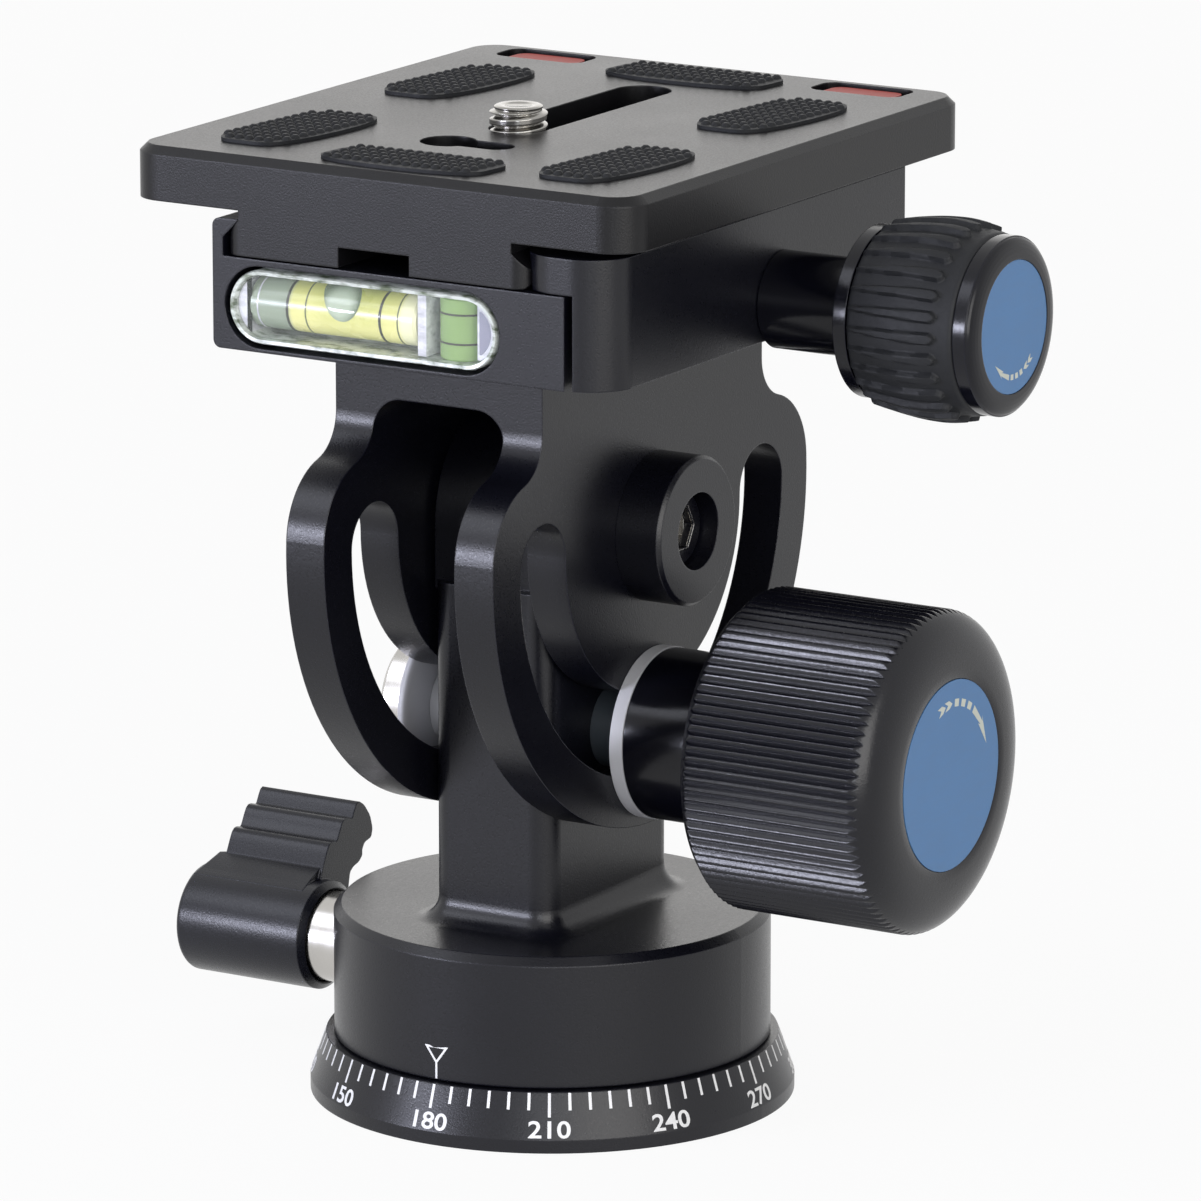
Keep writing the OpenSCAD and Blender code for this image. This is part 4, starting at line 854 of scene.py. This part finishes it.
def arrow_on_disc(disc, radius, half, start, stop, paint):
    """Dashed arrow along an arc: a double notched tail, three dashes and a head, as thin prisms on a disc.

    Each corner is given as a share of the arc and a distance off its middle radius.
    """
    tails = [[[a, half * 1.2], [a + 0.05, 0.0], [a, -half * 1.2], [a + 0.07, -half * 1.1], [a + 0.12, 0.0],
              [a + 0.07, half * 1.1]] for a in (0.0, 0.11)]
    dashes = [[[a, half], [a, -half], [a + 0.065, -half], [a + 0.065, half]] for a in (0.27, 0.38, 0.49)]
    heads = [[[0.60, half], [0.60, -half], [0.80, -half * 0.6], [0.76, -half * 1.3], [1.0, 0.0],
              [0.76, half * 1.3], [0.80, half * 0.6]]]

    def printed(flat):
        """Prisms through the disc's face, with the flat corners laid along the arc."""
        angle = np.radians(start + (stop - start) * flat[..., 0])
        away = radius + flat[..., 1]
        across, up = away * np.cos(angle), disc.middle[2] + away * np.sin(angle)
        return prisms(*[stacked(disc.high[0] + lift, across, up) for lift in (-paint, paint)])

    return [printed(np.array(group)) for group in (tails, dashes, heads)]


class HEAD_OT_disc_marks(bpy.types.Operator):
    """Prints the turning arrows on both knobs' discs"""

    bl_idname = "tripod_head.disc_marks"
    bl_label = "Arrows on the discs"

    def execute(self, context):
        paint = context.scene.head_marks.paint / MM
        knobs = [("tilt_disc_arrow", KNOB_DISC, 0.76, 0.42, 112, 14, "tilt_lock"),
                 ("clamp_disc_arrow", CLAMP_DISC, 0.75, 0.30, -44, -140, "clamp_knob")]
        for name, disc, share, half, start, stop, body in knobs:
            shells = arrow_on_disc(disc, share * disc.half[1], half, start, stop, paint)
            piece(name, shells, "arrow", body)
        return {"FINISHED"}


# Pads: middle in X and Y and half sizes of each, and their bumps as shares of the pitch and of the height
PAD_FOOT = 0.38
PAD_SHEAR = 0.10
SIDE_PADS = [(x, y, 5.0, 9.8) for x in (-19.6, 20.5) for y in (-20.1, 12.6)]
END_PADS = [(0.9, y, 10.2, 4.5) for y in (-29.6, 29.0)]
PAD_POWER = 5.0
PAD_BOW = 4.5
PAD_CORNERS = 96
BUMP_STRETCH = 1.15
BUMP_STEPS = 12
BUMP_MARGIN = 0.3
BUMP_SINK = 0.02
BUMP_CORNERS = 8
BUMP_LEVELS = [(0.47, 0.0), (0.37, 0.6), (0.20, 1.0)]


def pad_width(place, half_long, half_wide):
    """Half width of a pad at a place along it: a wide bow whose radius is PAD_BOW times the half length."""
    bow = PAD_BOW * half_long
    return half_wide - bow + np.sqrt(bow ** 2 - np.clip(place, -half_long, half_long) ** 2)


def pad_shells(centre_x, centre_y, half_x, half_y, pitch, height):
    """Pad: a slab inside |w/width(l)|^n + |l/length|^n = 1 and rows of blunt round bumps on it.

    Both lean a little: x moves by PAD_SHEAR times y.
    """
    foot_z = PLATE.high[2]
    tall = half_y > half_x
    half_long, half_wide = max(half_x, half_y), min(half_x, half_y)

    def placed(x, y, z):
        """Leaning points, in their place on the plate."""
        return stacked(centre_x + x + PAD_SHEAR * y, centre_y + y, z)

    def powered(wave):
        """Coordinate of a superellipse from a sine or cosine: sign(w) |w|^(2/n)."""
        return np.sign(wave) * np.abs(wave) ** (2 / PAD_POWER)

    angle = np.arange(PAD_CORNERS) * TURN / PAD_CORNERS
    length = half_long * powered(np.cos(angle))
    width = powered(np.sin(angle)) * pad_width(length, half_long, half_wide)
    x, y = (width, length) if tall else (length, width)
    slab = prisms(placed(x, y, foot_z)[None], placed(x, y, foot_z + PAD_FOOT)[None])
    steps = np.arange(-BUMP_STEPS, BUMP_STEPS + 1) * pitch
    x, y = [grid.ravel() for grid in np.meshgrid(steps, steps * BUMP_STRETCH)]
    length, width = (y, x) if tall else (x, y)
    across = width / (pad_width(length, half_long, half_wide) - BUMP_MARGIN)
    inside = np.abs(across) ** PAD_POWER + np.abs(length / (half_long - BUMP_MARGIN)) ** PAD_POWER < 1
    x, y = x[inside][:, None], y[inside][:, None]
    turn = np.arange(BUMP_CORNERS) * TURN / BUMP_CORNERS
    rings = [placed(x + reach * pitch * np.cos(turn), y + reach * pitch * np.sin(turn),
                    foot_z + PAD_FOOT - BUMP_SINK + height * rise) for reach, rise in BUMP_LEVELS]
    points = np.concatenate(rings, 1).reshape(-1, 3)
    last = BUMP_CORNERS * (len(BUMP_LEVELS) - 1)
    start = np.arange(len(x))[:, None] * BUMP_CORNERS * len(BUMP_LEVELS)
    upper = start + BUMP_CORNERS
    ring = np.arange(last)[None, :]
    beside = ring // BUMP_CORNERS * BUMP_CORNERS + (ring + 1) % BUMP_CORNERS
    sides = stacked(start + ring, start + beside, upper + beside, upper + ring)
    feet = start + np.arange(BUMP_CORNERS)[::-1]
    tops = start + np.arange(BUMP_CORNERS) + last
    return [slab, (points, sides.reshape(-1, 4).tolist() + feet.tolist() + tops.tolist())]


class HEAD_OT_pads(bpy.types.Operator):
    """Lays the six bumpy rubber pads on the plate"""

    bl_idname = "tripod_head.pads"
    bl_label = "Rubber pads"

    def execute(self, context):
        grips = context.scene.head_grips
        for name, pads, node in (("side_pads_bumped", SIDE_PADS, "side_pads"),
                                 ("end_pads_bumped", END_PADS, "end_pads")):
            shells = []
            for pad in pads:
                shells += pad_shells(*pad, grips.bump_pitch / MM, grips.bump_height / MM)
            piece(name, shells, "rubber_black", "plate", [node], 30)
        return {"FINISHED"}


# Threads
LATHE_SIDES = 96
TOOTH_CREST = 1.55
TOOTH_SLOPE = 3.0
THREAD_RUNOUT = 0.3
CAMERA_ROOT_R = 2.55
CAMERA_NECK_R = 2.5
CAMERA_DEPTH = 0.63
CAMERA_SUNK = 0.9
CAMERA_SHIFT = 0.89
CAMERA_ROWS = 60
# Rows of the camera thread start and end short of the thread, and its tip steps out from the root and down
CAMERA_SHORT = (0.02, 0.42)
CAMERA_STOP = 0.38
CAMERA_TIP = [(0.10, 0.30), (0.10, 0.14), (-0.10, 0.0), (-1.0, 0.0), (-1.15, 0.1), (-CAMERA_ROOT_R, 0.1)]
SCREW_HEAD_H = 1.6
TRIPOD_HOLE_R = 4.7625
TRIPOD_DEPTH = 0.55
TRIPOD_END = 0.4
TRIPOD_MOUTHS = (0.5, 0.3)
TRIPOD_ROWS = 90


def thread(pitch, depth, start, stop, shift=0.0):
    """Helical thread: a blunt tooth each pitch stands out of the radius, run out at both ends."""
    runout = THREAD_RUNOUT * pitch

    def carve(angle, height, radius):
        """Radius with the tooth added; its phase is height over pitch less angle over a turn."""
        phase = ((height - shift) / pitch - angle / TURN) % 1
        tooth = np.clip(TOOTH_CREST - TOOTH_SLOPE * np.abs(phase - 0.5), 0, 1)
        ends = smooth((height - start) / runout) * smooth((stop - height) / runout)
        within = (height > start) & (height < stop)
        return radius + depth * smooth(tooth) * np.where(within, ends, 0)

    return carve


class HEAD_OT_threads(bpy.types.Operator):
    """Cuts the camera screw's thread and the tripod socket's thread"""

    bl_idname = "tripod_head.threads"
    bl_label = "Threads"

    def execute(self, context):
        grips = context.scene.head_grips
        head_r, neck_r, root_r = SCREW.half[0], CAMERA_NECK_R, CAMERA_ROOT_R
        foot, top = SCREW.low[2], SCREW.high[2]
        head_top = foot + SCREW_HEAD_H
        start = PLATE.high[2] - CAMERA_SUNK
        rows = np.concatenate([
            [[0, foot], [head_r - EASE, foot], [head_r, foot + EASE], [head_r, head_top - EASE],
             [head_r - EASE, head_top], [neck_r, head_top], [neck_r, start]],
            stacked(root_r, np.linspace(start + CAMERA_SHORT[0], top - CAMERA_SHORT[1], CAMERA_ROWS)),
            [[root_r + out, top - down] for out, down in CAMERA_TIP],
        ])
        carve = thread(grips.camera_pitch / MM, CAMERA_DEPTH, start, top - CAMERA_STOP, CAMERA_SHIFT)
        shell = lathe(rows, LATHE_SIDES, 2, (*SCREW.middle[:2], 0), carve=carve)
        piece("camera_screw_threaded", [shell], "chrome", "screw", ["camera_screw"], 40)
        outer_r, hole_r = BUSH.high[0], TRIPOD_HOLE_R
        low, high = BUSH.low[2], BUSH.high[2]
        first, last = low + TRIPOD_END, high - TRIPOD_END
        rows = np.concatenate([
            [[hole_r + TRIPOD_MOUTHS[0], low], [outer_r - EASE, low], [outer_r, low + EASE], [outer_r, high],
             [hole_r + TRIPOD_MOUTHS[1], high]],
            stacked(hole_r, np.linspace(last, first, TRIPOD_ROWS)),
        ])
        carve = thread(grips.tripod_pitch / MM, TRIPOD_DEPTH, first, last)
        shell = lathe(rows, LATHE_SIDES, 2, (0, 0, 0), True, carve)
        piece("tripod_bush_threaded", [shell], "steel", "base", ["tripod_bush"], 40)
        return {"FINISHED"}


# Sockets of the pivot screws
SOCKET_OUT = 1.1
SOCKET_R = 2.55
SOCKET_SINK = 0.02
SOCKET_EASE = 0.15
SOCKET_WALL = 0.5
LIP_IN_R = SOCKET_R - 0.03
LIP_TOP_R = SOCKET_R + 0.12
LIP_OUT_R = SOCKET_R + 0.20
LIP_DEPTH = 0.20


class HEAD_OT_sockets(bpy.types.Operator):
    """Sets the hexagon sockets of the screws in the pivot caps"""

    bl_idname = "tripod_head.sockets"
    bl_label = "Pivot sockets"

    def execute(self, context):
        centre = (0, 0, PIVOT.middle[2])
        head_r = PIVOT.half[1] - ROOM

        def hexagon(angle, height, radius):
            """Radius of a hexagon inside the head's wall: r cos(30) over the cosine off a flat's middle."""
            flat = angle % (TURN / 6) - TURN / 12
            cut = radius * math.cos(TURN / 12) / np.cos(flat)
            return np.where(radius < head_r - SOCKET_WALL, cut, radius)

        heads, lips = [], []
        for face, way in ((PIVOT.high[0], 1), (PIVOT.low[0], -1)):
            foot, top = face + SOCKET_SINK * way, face + SOCKET_OUT * way
            rows = [[SOCKET_R, foot], [head_r, foot], [head_r, top - SOCKET_EASE * way],
                    [head_r - SOCKET_EASE, top], [SOCKET_R, top]]
            heads.append(lathe(rows, LATHE_SIDES, 0, centre, True, hexagon))
            lip_foot, lip_top = top - LIP_DEPTH * way, top + SOCKET_SINK * way
            rows = [[LIP_IN_R, lip_foot], [LIP_OUT_R, lip_foot], [LIP_OUT_R, lip_top], [LIP_TOP_R, lip_top]]
            lips.append(lathe(rows, LATHE_SIDES, 0, centre, True, hexagon))
        piece("pivot_socket_heads", heads, "anodised_black", "tilt_head", (), 30)
        piece("pivot_socket_lips", lips, "steel", "tilt_head", (), 30)
        return {"FINISHED"}


# Washer under the tilt bolt's head
WASHER_HOLE_R = 3.2
WASHER_FLAT_R = 4.6
WASHER_FALL = 0.95
WASHER_SIDES = 128
WASHER_ROWS = 16


class HEAD_OT_bolt_washer(bpy.types.Operator):
    """Domes the pale washer under the tilt bolt's head: a quarter ellipse from its rim to its flat"""

    bl_idname = "tripod_head.bolt_washer"
    bl_label = "Bolt washer"

    def execute(self, context):
        rim_r = WASHER.half[1]
        back, face = WASHER.low[0], WASHER.high[0]
        turn = np.radians(np.linspace(90, 0, WASHER_ROWS))
        dome_r = WASHER_FLAT_R + (rim_r - WASHER_FLAT_R) * np.sin(turn)
        rows = np.concatenate([
            [[WASHER_HOLE_R, back], [rim_r - EASE, back], [rim_r, back + EASE]],
            stacked(dome_r, face - WASHER_FALL * (1 - np.cos(turn))),
            [[WASHER_HOLE_R, face]],
        ])
        shell = lathe(rows, WASHER_SIDES, 0, (0, 0, WASHER.middle[2]), True)
        piece("bolt_washer_domed", [shell], "nylon_pale", "pan_body", ["bolt_washer"], 30)
        return {"FINISHED"}


# Spirit level; rings, divider and pockets by their places in X, the short vial's rings by height
LEVEL_Z = LEVEL.middle[2]
LEVEL_R = LEVEL.half[2]
LEVEL_ENDS = (LEVEL.low[0] + LEVEL_R, LEVEL.high[0] - LEVEL_R)
LEVEL_GAP = 0.40
INSIDE_GAP = 0.5
# Corners of the rim's section: how far inside the wall, and how far behind the front
RIM_WIDTH = 0.62
LEVEL_RIM = [(RIM_WIDTH, 0.55), (0.50, 0.10), (0.15, 0.02), (0.0, 0.25)]
# Depths from the level's front or back
LINING_BACK = (0.9, 0.1)
WINDOW_FRONT = (0.32, 0.62)
DIVIDER_FRONT = 0.9
POCKET_FRONT = 0.8
POCKET_BACK = 0.95
SHADE_FRONT = (0.78, 0.9)
END_STEPS = 40
THICK_RINGS = (-11.45, 0.24)
THIN_RINGS = (-9.12, 2.47)
CLEAR_RINGS = (-15.2,)
SHORT_RINGS = (-1.5, 1.65)
SHORT_RING_WIDTH = 0.22
SHORT_RING_LIFT = 0.02
RING_PAINT = 0.04
VIAL_SIDES = 64
VIAL_ROOM = 0.15
VIAL_DROP = 0.35
SHORT_SWELL = 0.4
SHORT_SHIFT = 0.55
BUBBLE_ARC = (-22, 103)
BUBBLE_LEAN = 0.45
BUBBLE_HINGE = 0.7
BUBBLE_LIFT = 0.03
BUBBLE_SWELL = 0.10
BUBBLE_DEPTH = 0.25
BUBBLE_ROWS = 14
BUBBLE_SIDES = 48
DIVIDER_X = (4.9, 5.95)
DIVIDER_GAP = 0.75
POCKETS_X = (-16.6, 12.4)
# Gaps from the wall to the round end and to the straight edge's ends, of a pocket and of its shade
POCKET_GAPS = (0.7, 1.1)
SHADE_GAPS = (1.15, 1.7)
SHADE_INSET = 0.25
POCKET_STEPS = 24


def stadium(radius):
    """Outline of a bar with round ends in X and Z, at a distance from the level's middle line."""
    left, right = LEVEL_ENDS
    return np.concatenate([arc((right, LEVEL_Z), radius, -90, 90, END_STEPS),
                           arc((left, LEVEL_Z), radius, 90, 270, END_STEPS)])


def stadium_sweep(profile):
    """Closed profile of outline distance and depth carried round the stadium."""
    rings = np.stack([np.insert(stadium(radius), 1, depth, 1) for radius, depth in profile])
    points = rings.transpose(1, 0, 2).reshape(-1, 3)
    return points, quads(rings.shape[1], len(profile), True, True)


def upright(outline, front, back):
    """Flat plate with an outline of X and Z between two depths."""
    outline = np.asarray(outline, float)
    return prisms(np.insert(outline, 1, front, 1)[None], np.insert(outline, 1, back, 1)[None])


def tube(radius, start, stop, axis, centre, ease=0.3):
    """Closed cylinder with eased ends along X or Z."""
    rows = [[0, start], [radius - ease, start], [radius, start + ease],
            [radius, stop - ease], [radius - ease, stop], [0, stop]]
    return lathe(rows, VIAL_SIDES, axis, centre)


def hoop(radius, place, width, axis, centre):
    """Thin printed ring round a vial."""
    inner, outer = radius - RING_PAINT, radius + RING_PAINT
    start, stop = place - width / 2, place + width / 2
    rows = [[inner, start], [outer, start], [outer, stop], [inner, stop]]
    return lathe(rows, VIAL_SIDES, axis, centre, True)


def bubble_shell(radius, from_top, to_front, centre):
    """Bubble lying on the inside of the vial: an ellipse in length and angle, leaning with its depth.

    Its outside stands at radius + swell * sqrt(1 - share^2); the share goes from its middle to its rim.
    """
    share = np.linspace(0, 1, BUBBLE_ROWS)[None, :]
    turn = np.arange(BUBBLE_SIDES)[:, None] * TURN / BUBBLE_SIDES
    x = BUBBLE_X + BUBBLE_HALF * share * np.cos(turn)
    angle = np.radians((from_top + to_front) / 2 + (to_front - from_top) / 2 * share * np.sin(turn))

    def on_vial(away):
        """Points at a distance from the vial's axis."""
        return stacked(x, centre[1] - away * np.sin(angle), centre[2] + away * np.cos(angle))

    outer = on_vial(radius + BUBBLE_SWELL * np.sqrt(1 - share ** 2))
    inner = on_vial(radius - BUBBLE_DEPTH)
    points = np.concatenate([outer, inner[:, ::-1]], 1)
    points[..., 0] -= BUBBLE_LEAN * (points[..., 1] - centre[1] + BUBBLE_HINGE * radius)
    return points.reshape(-1, 3), quads(BUBBLE_SIDES, 2 * BUBBLE_ROWS, True)


def crescent(middle, side, reach, flat, half):
    """Outline between a round end of the level and a straight edge across it."""
    turn = np.linspace(-math.asin(half / reach), math.asin(half / reach), POCKET_STEPS)
    curve = stacked(middle + side * reach * np.cos(turn), LEVEL_Z + reach * np.sin(turn))
    return np.concatenate([curve, [[flat, LEVEL_Z + half], [flat, LEVEL_Z - half]]])


class HEAD_OT_level(bpy.types.Operator):
    """Builds the spirit level: clear case, vials, bubble, rings and pale linings"""

    bl_idname = "tripod_head.level"
    bl_label = "Spirit level"

    def execute(self, context):
        body, case, liquid = "tilt_head", "clear_acrylic", "vial_liquid"
        front, back = LEVEL.low[1], LEVEL.high[1]
        wall = LEVEL_R - LEVEL_GAP
        rim = [(wall - inset, front + depth) for inset, depth in LEVEL_RIM]
        rim += [(wall, back), (wall - RIM_WIDTH, back)]
        inside = stadium(wall - INSIDE_GAP)
        lining = upright(inside, *[back - depth for depth in LINING_BACK])
        window = upright(inside, *[front + depth for depth in WINDOW_FRONT])
        # The rim's pale colour is painted light caught in the clear wall of the case
        piece("level_rim", [stadium_sweep(rim)], "level_glass", body, ["level_block"], 50)
        piece("level_lining", [lining], "level_glass", body)
        piece("level_window", [window], "clear_acrylic", body)
        radius = VIAL.half[2] - VIAL_ROOM
        at = (0, VIAL.middle[1], VIAL.middle[2] - VIAL_DROP)
        vial = tube(radius, VIAL.low[0], VIAL.high[0], 0, at)
        piece("vial_long", [vial], "vial_liquid", body, ["level_vial_long"])
        for name, places, width, finish in (("vial_long_rings", THICK_RINGS, 0.30, "level_line"),
                                            ("vial_thin_rings", THIN_RINGS, 0.16, "level_grey"),
                                            ("vial_clear_ring", CLEAR_RINGS, 0.18, "level_lilac")):
            piece(name, [hoop(radius, x, width, 0, at) for x in places], finish, body)
        piece("vial_bubble", [bubble_shell(radius + BUBBLE_LIFT, *BUBBLE_ARC, at)], "bubble", body)
        radius = SHORT.half[0] + SHORT_SWELL
        at = (SHORT.middle[0] - SHORT_SHIFT, SHORT.middle[1], 0)
        vial = tube(radius, SHORT.low[2], SHORT.high[2], 2, at, EASE)
        piece("vial_short", [vial], "short_liquid", body, ["level_vial_short"])
        ring_r = radius + SHORT_RING_LIFT
        rings = [hoop(ring_r, LEVEL_Z + z, SHORT_RING_WIDTH, 2, at) for z in SHORT_RINGS]
        piece("vial_short_rings", rings, "level_line", body)
        left, right = DIVIDER_X
        half = wall - DIVIDER_GAP
        low, high = LEVEL_Z - half, LEVEL_Z + half
        divider = [[left, low], [right, low], [right, high], [left, high]]
        shells = [upright(divider, front + DIVIDER_FRONT, back - POCKET_BACK)]
        ends = list(zip(LEVEL_ENDS, (-1, 1), POCKETS_X))
        for middle, side, flat in ends:
            pocket = crescent(middle, side, wall - POCKET_GAPS[0], flat, wall - POCKET_GAPS[1])
            shells.append(upright(pocket, front + POCKET_FRONT, back - POCKET_BACK))
        piece("level_pockets", shells, "level_lilac", body, sharp=40)
        middle, side, flat = ends[1]
        shade = crescent(middle, side, wall - SHADE_GAPS[0], flat + SHADE_INSET, wall - SHADE_GAPS[1])
        shade = upright(shade, *[front + depth for depth in SHADE_FRONT])
        piece("level_pocket_shade", [shade], "level_shade", body)
        return {"FINISHED"}


# Lever of the pan lock, as points of Y and Z chosen along the wing's section
LEVER_WING = [
    (3.0, 15.0), (6.3, 16.5), (6.7, 18.4), (7.4, 18.9), (8.6, 19.2), (9.3, 19.8), (9.3, 20.5), (9.8, 21.2),
    (11.2, 21.5), (11.5, 22.5), (11.0, 24.1), (9.8, 25.6), (8.7, 26.3), (8.15, 26.1), (7.75, 25.5),
    (7.2, 24.5), (6.2, 24.85), (5.6, 24.85), (5.15, 24.55), (4.8, 24.05), (4.0, 22.6), (3.2, 22.8),
    (2.65, 22.75), (2.2, 22.4), (1.85, 21.85), (1.0, 20.2), (0.2, 18.0), (0.0, 16.0),
]
WING_LEFT = -44.05
WING_RIGHT = -31.0
WING_CUT = 0.16
SHOULDER_FOOT = (1.0, 20.2)
SHOULDER_LEFT = -44.9
SHOULDER_ROOT = 0.6
LEVER_INSET = 0.25
LEVER_REACH = 0.8
LEVER_ROUND = 0.7
# The barrel's right end: steps in from its radius, then steps out from the stem's, each with its depth
LEVER_RIM = [(0.0, 0.7), (0.15, 0.55), (0.72, 0.0)]
LEVER_MOUTH = [(0.35, 0.0), (0.12, 0.25), (0.12, 0.8)]
LEVER_FLOOR = 0.8
LEVER_SIDES = 128


def rounded(points, share):
    """Closed outline with each corner cut at a share of its sides, as two new points per corner."""
    points = np.asarray(points, float)
    after = np.roll(points, -1, 0)
    near = points + (after - points) * share
    far = after - (after - points) * share
    return np.stack([near, far], 1).reshape(-1, 2)


def extruded(outline, left, right):
    """Prism of an outline of Y and Z between two places, or rows of places, in X."""
    return prisms(*[np.insert(outline, 0, x, 1)[None] for x in (left, right)])


class HEAD_OT_lever(bpy.types.Operator):
    """Builds the pan lock's lever: a barrel with a stepped wing"""

    bl_idname = "tripod_head.lever"
    bl_label = "Pan lock lever"

    def execute(self, context):
        left, right = LEVER.low[0] + LEVER_INSET, LEVER.high[0] + LEVER_REACH
        axis_z, stem_r = STEM.middle[2], STEM.half[2]
        barrel_r = axis_z - LEVER.low[2]
        rows = np.concatenate([
            [[0, left]], arc((barrel_r - LEVER_ROUND, left + LEVER_ROUND), LEVER_ROUND, 270, 360, 7),
            [[barrel_r - inset, right - depth] for inset, depth in LEVER_RIM],
            [[stem_r + room, right - depth] for room, depth in LEVER_MOUTH], [[0, right - LEVER_FLOOR]],
        ])
        barrel = lathe(rows, LEVER_SIDES, 0, (0, 0, axis_z))
        wing = extruded(rounded(LEVER_WING, WING_CUT), WING_LEFT, WING_RIGHT)
        foot = np.array(SHOULDER_FOOT) - (0, axis_z)
        turn = math.atan2(foot[1], foot[0]) + math.acos(barrel_r / np.linalg.norm(foot))
        touch = barrel_r * np.array([math.cos(turn), math.sin(turn)])
        outline = np.array([foot, touch, touch * SHOULDER_ROOT, foot * SHOULDER_ROOT + (2.0, 0),
                            foot + (1.0, 0)])
        left_end = np.array([SHOULDER_LEFT, left + 0.45, left + 0.45, WING_LEFT + 0.5, WING_LEFT + 0.5])
        right_end = np.full(len(outline), WING_RIGHT - 0.4)
        shoulder = extruded(outline + (0, axis_z), left_end, right_end)
        piece("pan_lock_lever_winged", [barrel, wing, shoulder], "lever_black", "pan_lock",
              ["pan_lock_lever"], 32, 0.15)
        return {"FINISHED"}


# Stage: each lamp's name, place and size in metres, power in watts and tint
LAMPS = [
    ("key", (-0.52, -0.87, 0.16), (0.40, 0.14), 6.2, (0.80, 0.82, 1.0)),
    ("fill", (-0.55, -0.50, 0.72), (0.45, 0.45), 1.7, (0.84, 0.87, 1.0)),
    ("side", (0.85, -0.50, 0.28), (0.72, 0.72), 6.0, (1.0, 0.98, 0.96)),
    ("back", (-0.50, 0.85, 0.34), (0.70, 0.70), 0.9, (1.0, 0.97, 0.93)),
    ("front", (0.46, -0.88, 0.24), (0.30, 0.30), 1.6, (0.90, 0.93, 1.0)),
]
LAMP_AIM = (0, 0, 0.06)
WORLD_LIGHT = 0.30
WHITE = (1, 1, 1)
FLOOR_HALF = 4.0
FLOOR_GLOW = 0.93
FRAME_WIDTH = 36
VIEW_END = 50


class HEAD_OT_stage(bpy.types.Operator):
    """Sets the camera, the pale floor and the studio light"""

    bl_idname = "tripod_head.stage"
    bl_label = "Stage"

    def execute(self, context):
        scene = context.scene
        self.camera(scene)
        for lamp in LAMPS:
            self.lamp(scene, *lamp)
        self.floor(scene)
        self.world(scene)
        scene.view_settings.view_transform = "Standard"
        return {"FINISHED"}

    def camera(self, scene):
        """Camera at the photo's place."""
        stage = scene.head_stage
        camera = bpy.data.cameras.new("camera")
        camera.lens = stage.lens
        camera.sensor_width = FRAME_WIDTH
        camera.clip_end = VIEW_END
        viewer = bpy.data.objects.new("camera", camera)
        viewer.location = stage.place
        viewer.rotation_euler = stage.turn
        scene.collection.objects.link(viewer)
        scene.camera = viewer

    def lamp(self, scene, name, place, size, power, tint):
        """Rectangular lamp that faces the head."""
        lamp = bpy.data.lights.new(name, "AREA")
        lamp.shape = "RECTANGLE"
        lamp.size, lamp.size_y = size
        lamp.energy = power
        lamp.color = tint
        holder = bpy.data.objects.new(name, lamp)
        holder.location = place
        aim = np.array(LAMP_AIM) - np.array(place)
        tip = math.acos(-aim[2] / np.linalg.norm(aim))
        holder.rotation_euler = (tip, 0, math.atan2(aim[1], aim[0]) - math.pi / 2)
        scene.collection.objects.link(holder)

    def floor(self, scene):
        """Floor that is nearly white to the eye and to mirrors, and keeps the head's shadow."""
        corners = FLOOR_HALF * np.array([[-1, -1, 0], [1, -1, 0], [1, 1, 0], [-1, 1, 0]])
        mesh = bpy.data.meshes.new("floor")
        mesh.from_pydata(corners.tolist(), [], [[0, 1, 2, 3]])
        floor = bpy.data.objects.new("floor", mesh)
        finish = Finish("floor_pale")
        lit = finish.surface(Base_Color=tuple(scene.head_stage.floor), Roughness=0.9)
        glow = finish.add("ShaderNodeEmission", None, {"Color": WHITE, "Strength": 1.0})
        shares = {0: finish.seen() * FLOOR_GLOW, 1: Wire(finish, finish.shader.outputs[0]), 2: glow}
        finish.put(finish.output.inputs[0], finish.add("ShaderNodeMixShader", None, shares))
        mesh.materials.append(lit)
        scene.collection.objects.link(floor)

    def world(self, scene):
        """White to the eye and to mirrors, and a soft even light on the object."""
        world = bpy.data.worlds.new("studio")
        world.use_nodes = True
        nodes = Nodes(world.node_tree)
        strength = WORLD_LIGHT + nodes.seen() * (1 - WORLD_LIGHT)
        shade = nodes.add("ShaderNodeBackground", None, {"Color": WHITE, "Strength": strength})
        output = nodes.tree.nodes.new("ShaderNodeOutputWorld")
        nodes.put(output.inputs[0], shade)
        scene.world = world


class HEAD_PT_panel(bpy.types.Panel):
    """Lists the head's pieces in the sidebar"""

    bl_idname = "HEAD_PT_panel"
    bl_label = "Tripod head"
    bl_space_type = "VIEW_3D"
    bl_region_type = "UI"
    bl_category = "Tripod head"

    def draw(self, context):
        for made in PIECES:
            self.layout.operator(made.bl_idname)


PIECES = [
    HEAD_OT_finishes, HEAD_OT_stage, HEAD_OT_scale, HEAD_OT_index, HEAD_OT_tilt_knob, HEAD_OT_clamp_grip,
    HEAD_OT_disc_marks, HEAD_OT_pads, HEAD_OT_threads, HEAD_OT_sockets, HEAD_OT_bolt_washer, HEAD_OT_level,
    HEAD_OT_lever,
]
SETTINGS = {
    "head_finishes": HeadFinishes, "head_marks": HeadMarks, "head_grips": HeadGrips, "head_stage": HeadStage,
}


def register():
    """Registers the settings, the operators and the panel."""
    for name, group in SETTINGS.items():
        bpy.utils.register_class(group)
        setattr(bpy.types.Scene, name, PointerProperty(type=group))
    for made in [*PIECES, HEAD_PT_panel]:
        bpy.utils.register_class(made)


def unregister():
    """Takes back what register added."""
    for made in [HEAD_PT_panel, *reversed(PIECES)]:
        bpy.utils.unregister_class(made)
    for name, group in SETTINGS.items():
        delattr(bpy.types.Scene, name)
        bpy.utils.unregister_class(group)


def main():
    """Builds every piece in order."""
    register()
    for made in PIECES:
        group, name = made.bl_idname.split(".")
        getattr(getattr(bpy.ops, group), name)()


if __name__ == "__main__":
    main()
